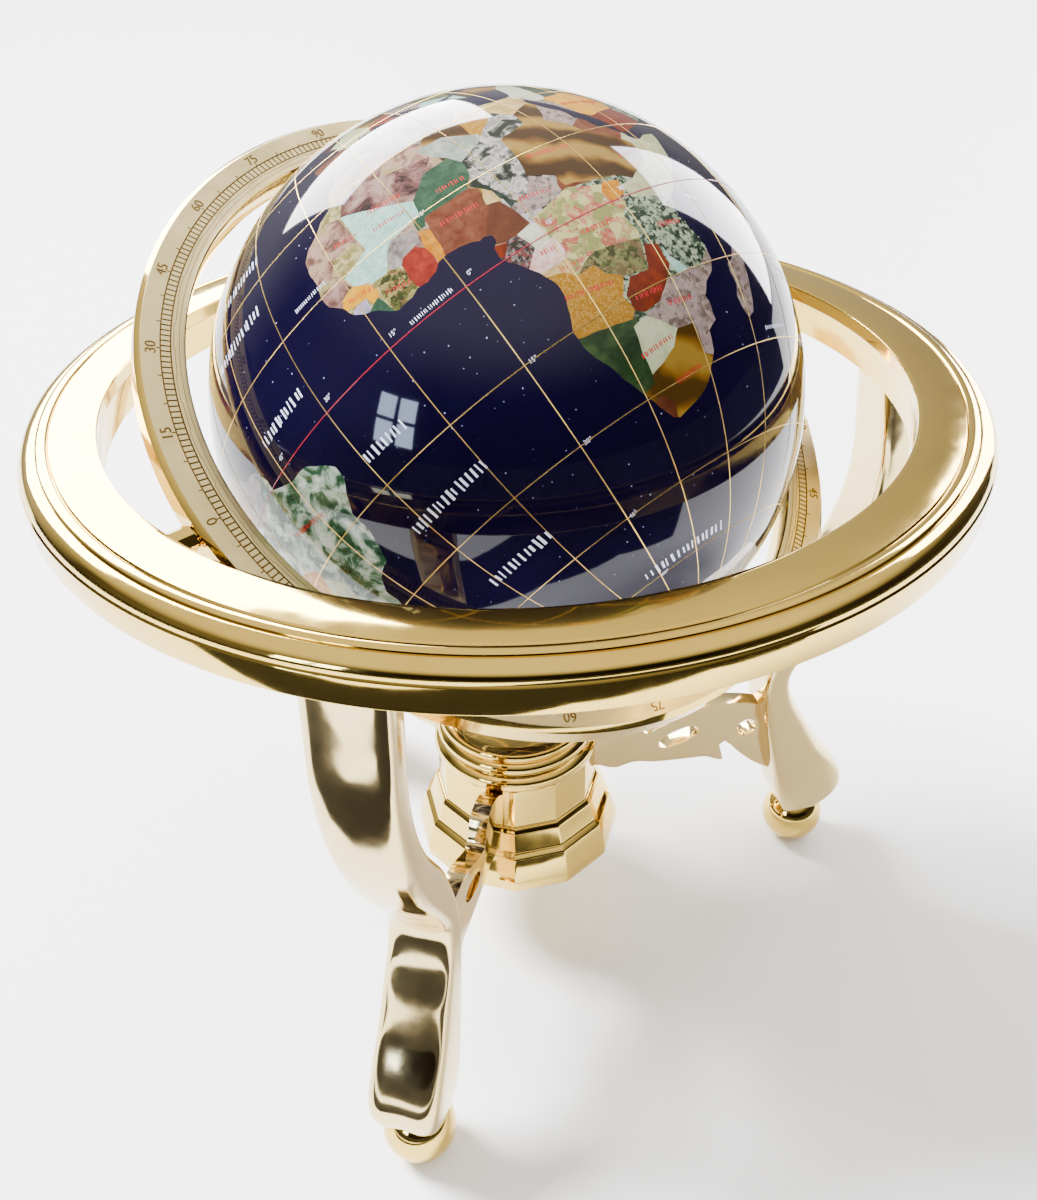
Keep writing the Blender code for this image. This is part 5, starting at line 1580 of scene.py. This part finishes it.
wires = {"Globe Radius": GLOBE_RADIUS - WIRE_SINK, "Wire Radius": WIRE_HALF_WIDTH, "Material": wire_gold}
sets = {"meridian_wires": (meridian_tree, {"Count": 12, **wires})}
for label, step in (("north", WIRE_STEP), ("south", -WIRE_STEP)):
    values = {"Count": 5, "First Angle": step, "Angle Step": step, **wires}
    sets[f"parallel_wires_{label}"] = (parallel_tree, values)
line = {"Count": 1, "First Angle": 0.0, "Angle Step": 0.0, **wires}
line.update({"Wire Radius": WIRE_HALF_WIDTH + 0.01, "Material": red_line})
sets["equator_line"] = (parallel_tree, line)
for name, (tree, values) in sets.items():
    belongs(grow(name, tree, values, globe_place), "sphere", "inlaid_globe")

# %% [markdown]
# The small print on the ball is made of rows of short strokes, red on stone and white on
# the sea. A row is drawn as a few points on the sphere; a node tree puts
# strokes along it, stands them across the row and varies their lean and length with a fixed
# seed. The degree figures beside the wires are real text, as on any scale.

# %% Rows of strokes
ROWS = {
    "small_red": """-6 18.3 -0.5 17.6/3 11.2 9.5 10.6/11.5 -10.2 19.5 -11.6/17.8 -23.8 24.5 -23.2
/-16 10.8 -11.5 9.8/12.5 -2.2 14.8 -2.4/22 14 30 13/22 -15.5 27 -15.8/27 -18.5 32 -19.2
/20 -2.5 27 -3/33.5 -6.5 38 -7/-5 22 1 21/6 17 11 16.5/15.5 7.5 20.5 6.5/37 7.5 43 8
/16.5 -6.2 13.5 -6/22 -30 28 -29.5/-54 -8 -44 -10/-2 40 -6 40.2
/60 61 110 62/67 48 74 48/95 35 110 35/74 21 83 21/40 24 50 24/50 33 58 33/-110 57 -90 57/-108 40 -88 40
/-66 -31 -60 -31/-104 24 -98 22/128 -25 142 -25/-76 -10 -72 -12/20 49 36 49/-10 7.5 -6.5 6.5/-9 20 -13 21""",
    "small_white": """-10 0.9 -2 1.1/-25 17 -18 17/50 -28 58 -28/44 -3 50 -6/2 42 12 41/-92 25 -86 25
/86 12 94 12""",
    "large_white": """-29.5 -9.8 -21 -10/-32.5 -23.2 -15 -22.8/-31 -38.4 -15.5 -38.4/-45 5.8 -32 6
/-50 24.6 -33 24.6/-44 35 -30 35/62 -18 82 -18/70 -30 86 -30/-150 10 -125 10/-145 -8 -128 -8/-140 -30 -112 -30
/155 25 178 25/-20 60 -6 62/-4 -58 26 -58/-110 -55 -80 -55/160 -45 186 -45""",
}
ROW_SIZES = {"small_red": (2.0, 0.95), "small_white": (1.7, 0.85), "large_white": (4.3, 1.95)}
STROKE_SHARE = 0.17
STROKE_LEAN = radians(5.0)
STROKE_RELIEF = 0.05
PITCH_STRAY = 0.22
STRAY_SEED = 11
ROW_PARTS = 12
white_fill = new_finish("white_filled_print", {**POLISH, "Base Color": linear("#C9CFE6")})[0]
red_fill = new_finish("red_filled_print", {**POLISH, "Base Color": linear("#9A1A22")})[0]

tree, given = new_tree("strokes_along_rows", (
    ("Pitch", "Float", 1.0), ("Stroke Size", "Vector", (0.2, 1.0, 0.04)), ("Lean", "Float", 0.5),
    ("Seed", "Int", 3), ("Material", "Material", None),
))
rows = first_of(tree, "GeometryNodeMeshToCurve", None, {0: given["Geometry"]})
links = {"Curve": rows, "Length": given["Pitch"]}
paced = first_of(tree, "GeometryNodeResampleCurve", {"mode": "LENGTH"}, links)
along = first_of(tree, "GeometryNodeInputTangent")
step_back = maths(tree, "MULTIPLY", given["Pitch"], -PITCH_STRAY)
step_on = maths(tree, "MULTIPLY", given["Pitch"], PITCH_STRAY)
stray = add_node(
    tree, "FunctionNodeRandomValue", {"data_type": "FLOAT", "Seed": STRAY_SEED}, {2: step_back, 3: step_on},
)
scaled = {0: along, "Scale": stray.outputs[1]}
aside = first_of(tree, "ShaderNodeVectorMath", {"operation": "SCALE"}, scaled)
uneven = first_of(tree, "GeometryNodeSetPosition", None, {"Geometry": paced, "Offset": aside})
where = first_of(tree, "GeometryNodeInputPosition")
stand = first_of(tree, "FunctionNodeAlignRotationToVector", {"axis": "Z"}, {"Vector": where})
face_row = first_of(tree, "FunctionNodeAlignRotationToVector", {
    "axis": "X", "pivot_axis": "Z",
}, {"Rotation": stand, "Vector": along})
lean_back = maths(tree, "MULTIPLY", given["Lean"], -1.0)
lean = add_node(
    tree, "FunctionNodeRandomValue", {"data_type": "FLOAT"},
    {2: lean_back, 3: given["Lean"], "Seed": given["Seed"]},
)
tip = first_of(tree, "ShaderNodeCombineXYZ", None, {"Z": lean.outputs[1]})
tipped = first_of(tree, "FunctionNodeEulerToRotation", None, {0: tip})
links = {0: face_row, 1: tipped}
turned_on = first_of(tree, "FunctionNodeRotateRotation", {"rotation_space": "LOCAL"}, links)
stretch = first_of(tree, "FunctionNodeRandomValue", {
    "data_type": "FLOAT_VECTOR", 0: (0.6, 0.6, 1.0), 1: (1.4, 1.0, 1.0),
}, {"Seed": given["Seed"]})
stroke = first_of(tree, "GeometryNodeMeshCube", None, {"Size": given["Stroke Size"]})
placed = first_of(tree, "GeometryNodeInstanceOnPoints", None, {
    "Points": uneven, "Instance": stroke, "Rotation": turned_on, "Scale": stretch,
})
close_tree(tree, placed, given["Material"])

for kind, text in ROWS.items():
    height, pitch = ROW_SIZES[kind]
    rows_mesh = bpy.data.meshes.new(kind)
    row_points, row_edges = [], []
    for row in text.split("/"):
        (ax, ay), (bx, by) = outline(row)
        first = len(row_points)
        for k in range(ROW_PARTS + 1):
            row_points.append(on_globe(ax + (bx - ax) * k / ROW_PARTS, ay + (by - ay) * k / ROW_PARTS))
        row_edges += [(first + k, first + k + 1) for k in range(ROW_PARTS)]
    rows_mesh.from_pydata(row_points, row_edges, [])
    values = {
        "Pitch": pitch, "Stroke Size": (height * STROKE_SHARE, height, STROKE_RELIEF), "Lean": STROKE_LEAN,
        "Material": red_fill if "red" in kind else white_fill,
    }
    strokes = grow(f"name_strokes_{kind}", tree, values, globe_place, rows_mesh)
    belongs(strokes, "sphere", "inlaid_globe")

# %% Degree figures beside the wires
FIGURE_HEIGHT = 1.5
FIGURE_RELIEF = 0.03
FIGURE_LIFT = 0.02
FROM_WIRE = 1.6
BESIDE_WIRE = 1.8
figures = bmesh.new()
places = [(f"{abs(lat)}°", FROM_WIRE, lat) for lat in range(-60, 75, 15) if lat]
places.append(("0°", BESIDE_WIRE, FROM_WIRE))
places += [(f"{abs(lon)}°", lon + BESIDE_WIRE, FROM_WIRE) for lon in range(-165, 180, 15) if lon]
for words, longitude, latitude in places:
    outward = on_globe(longitude, latitude).normalized()
    east = Vector((-sin(radians(longitude)), cos(radians(longitude)), 0.0))
    turn = Matrix((east, outward.cross(east), outward)).transposed().to_4x4()
    spot = Matrix.Translation(outward * (GLOBE_RADIUS + FIGURE_LIFT)) @ turn
    join_placed(figures, text_mesh(words, FIGURE_HEIGHT, FIGURE_RELIEF), spot)
figure_piece = add_piece("degree_figures", figures, [white_fill], globe_place)
belongs(figure_piece, "sphere", "inlaid_globe")

# %% Measure the visual size
low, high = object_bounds()
print("visual box in metres:", [round(v, 4) for v in (*low, *high)])
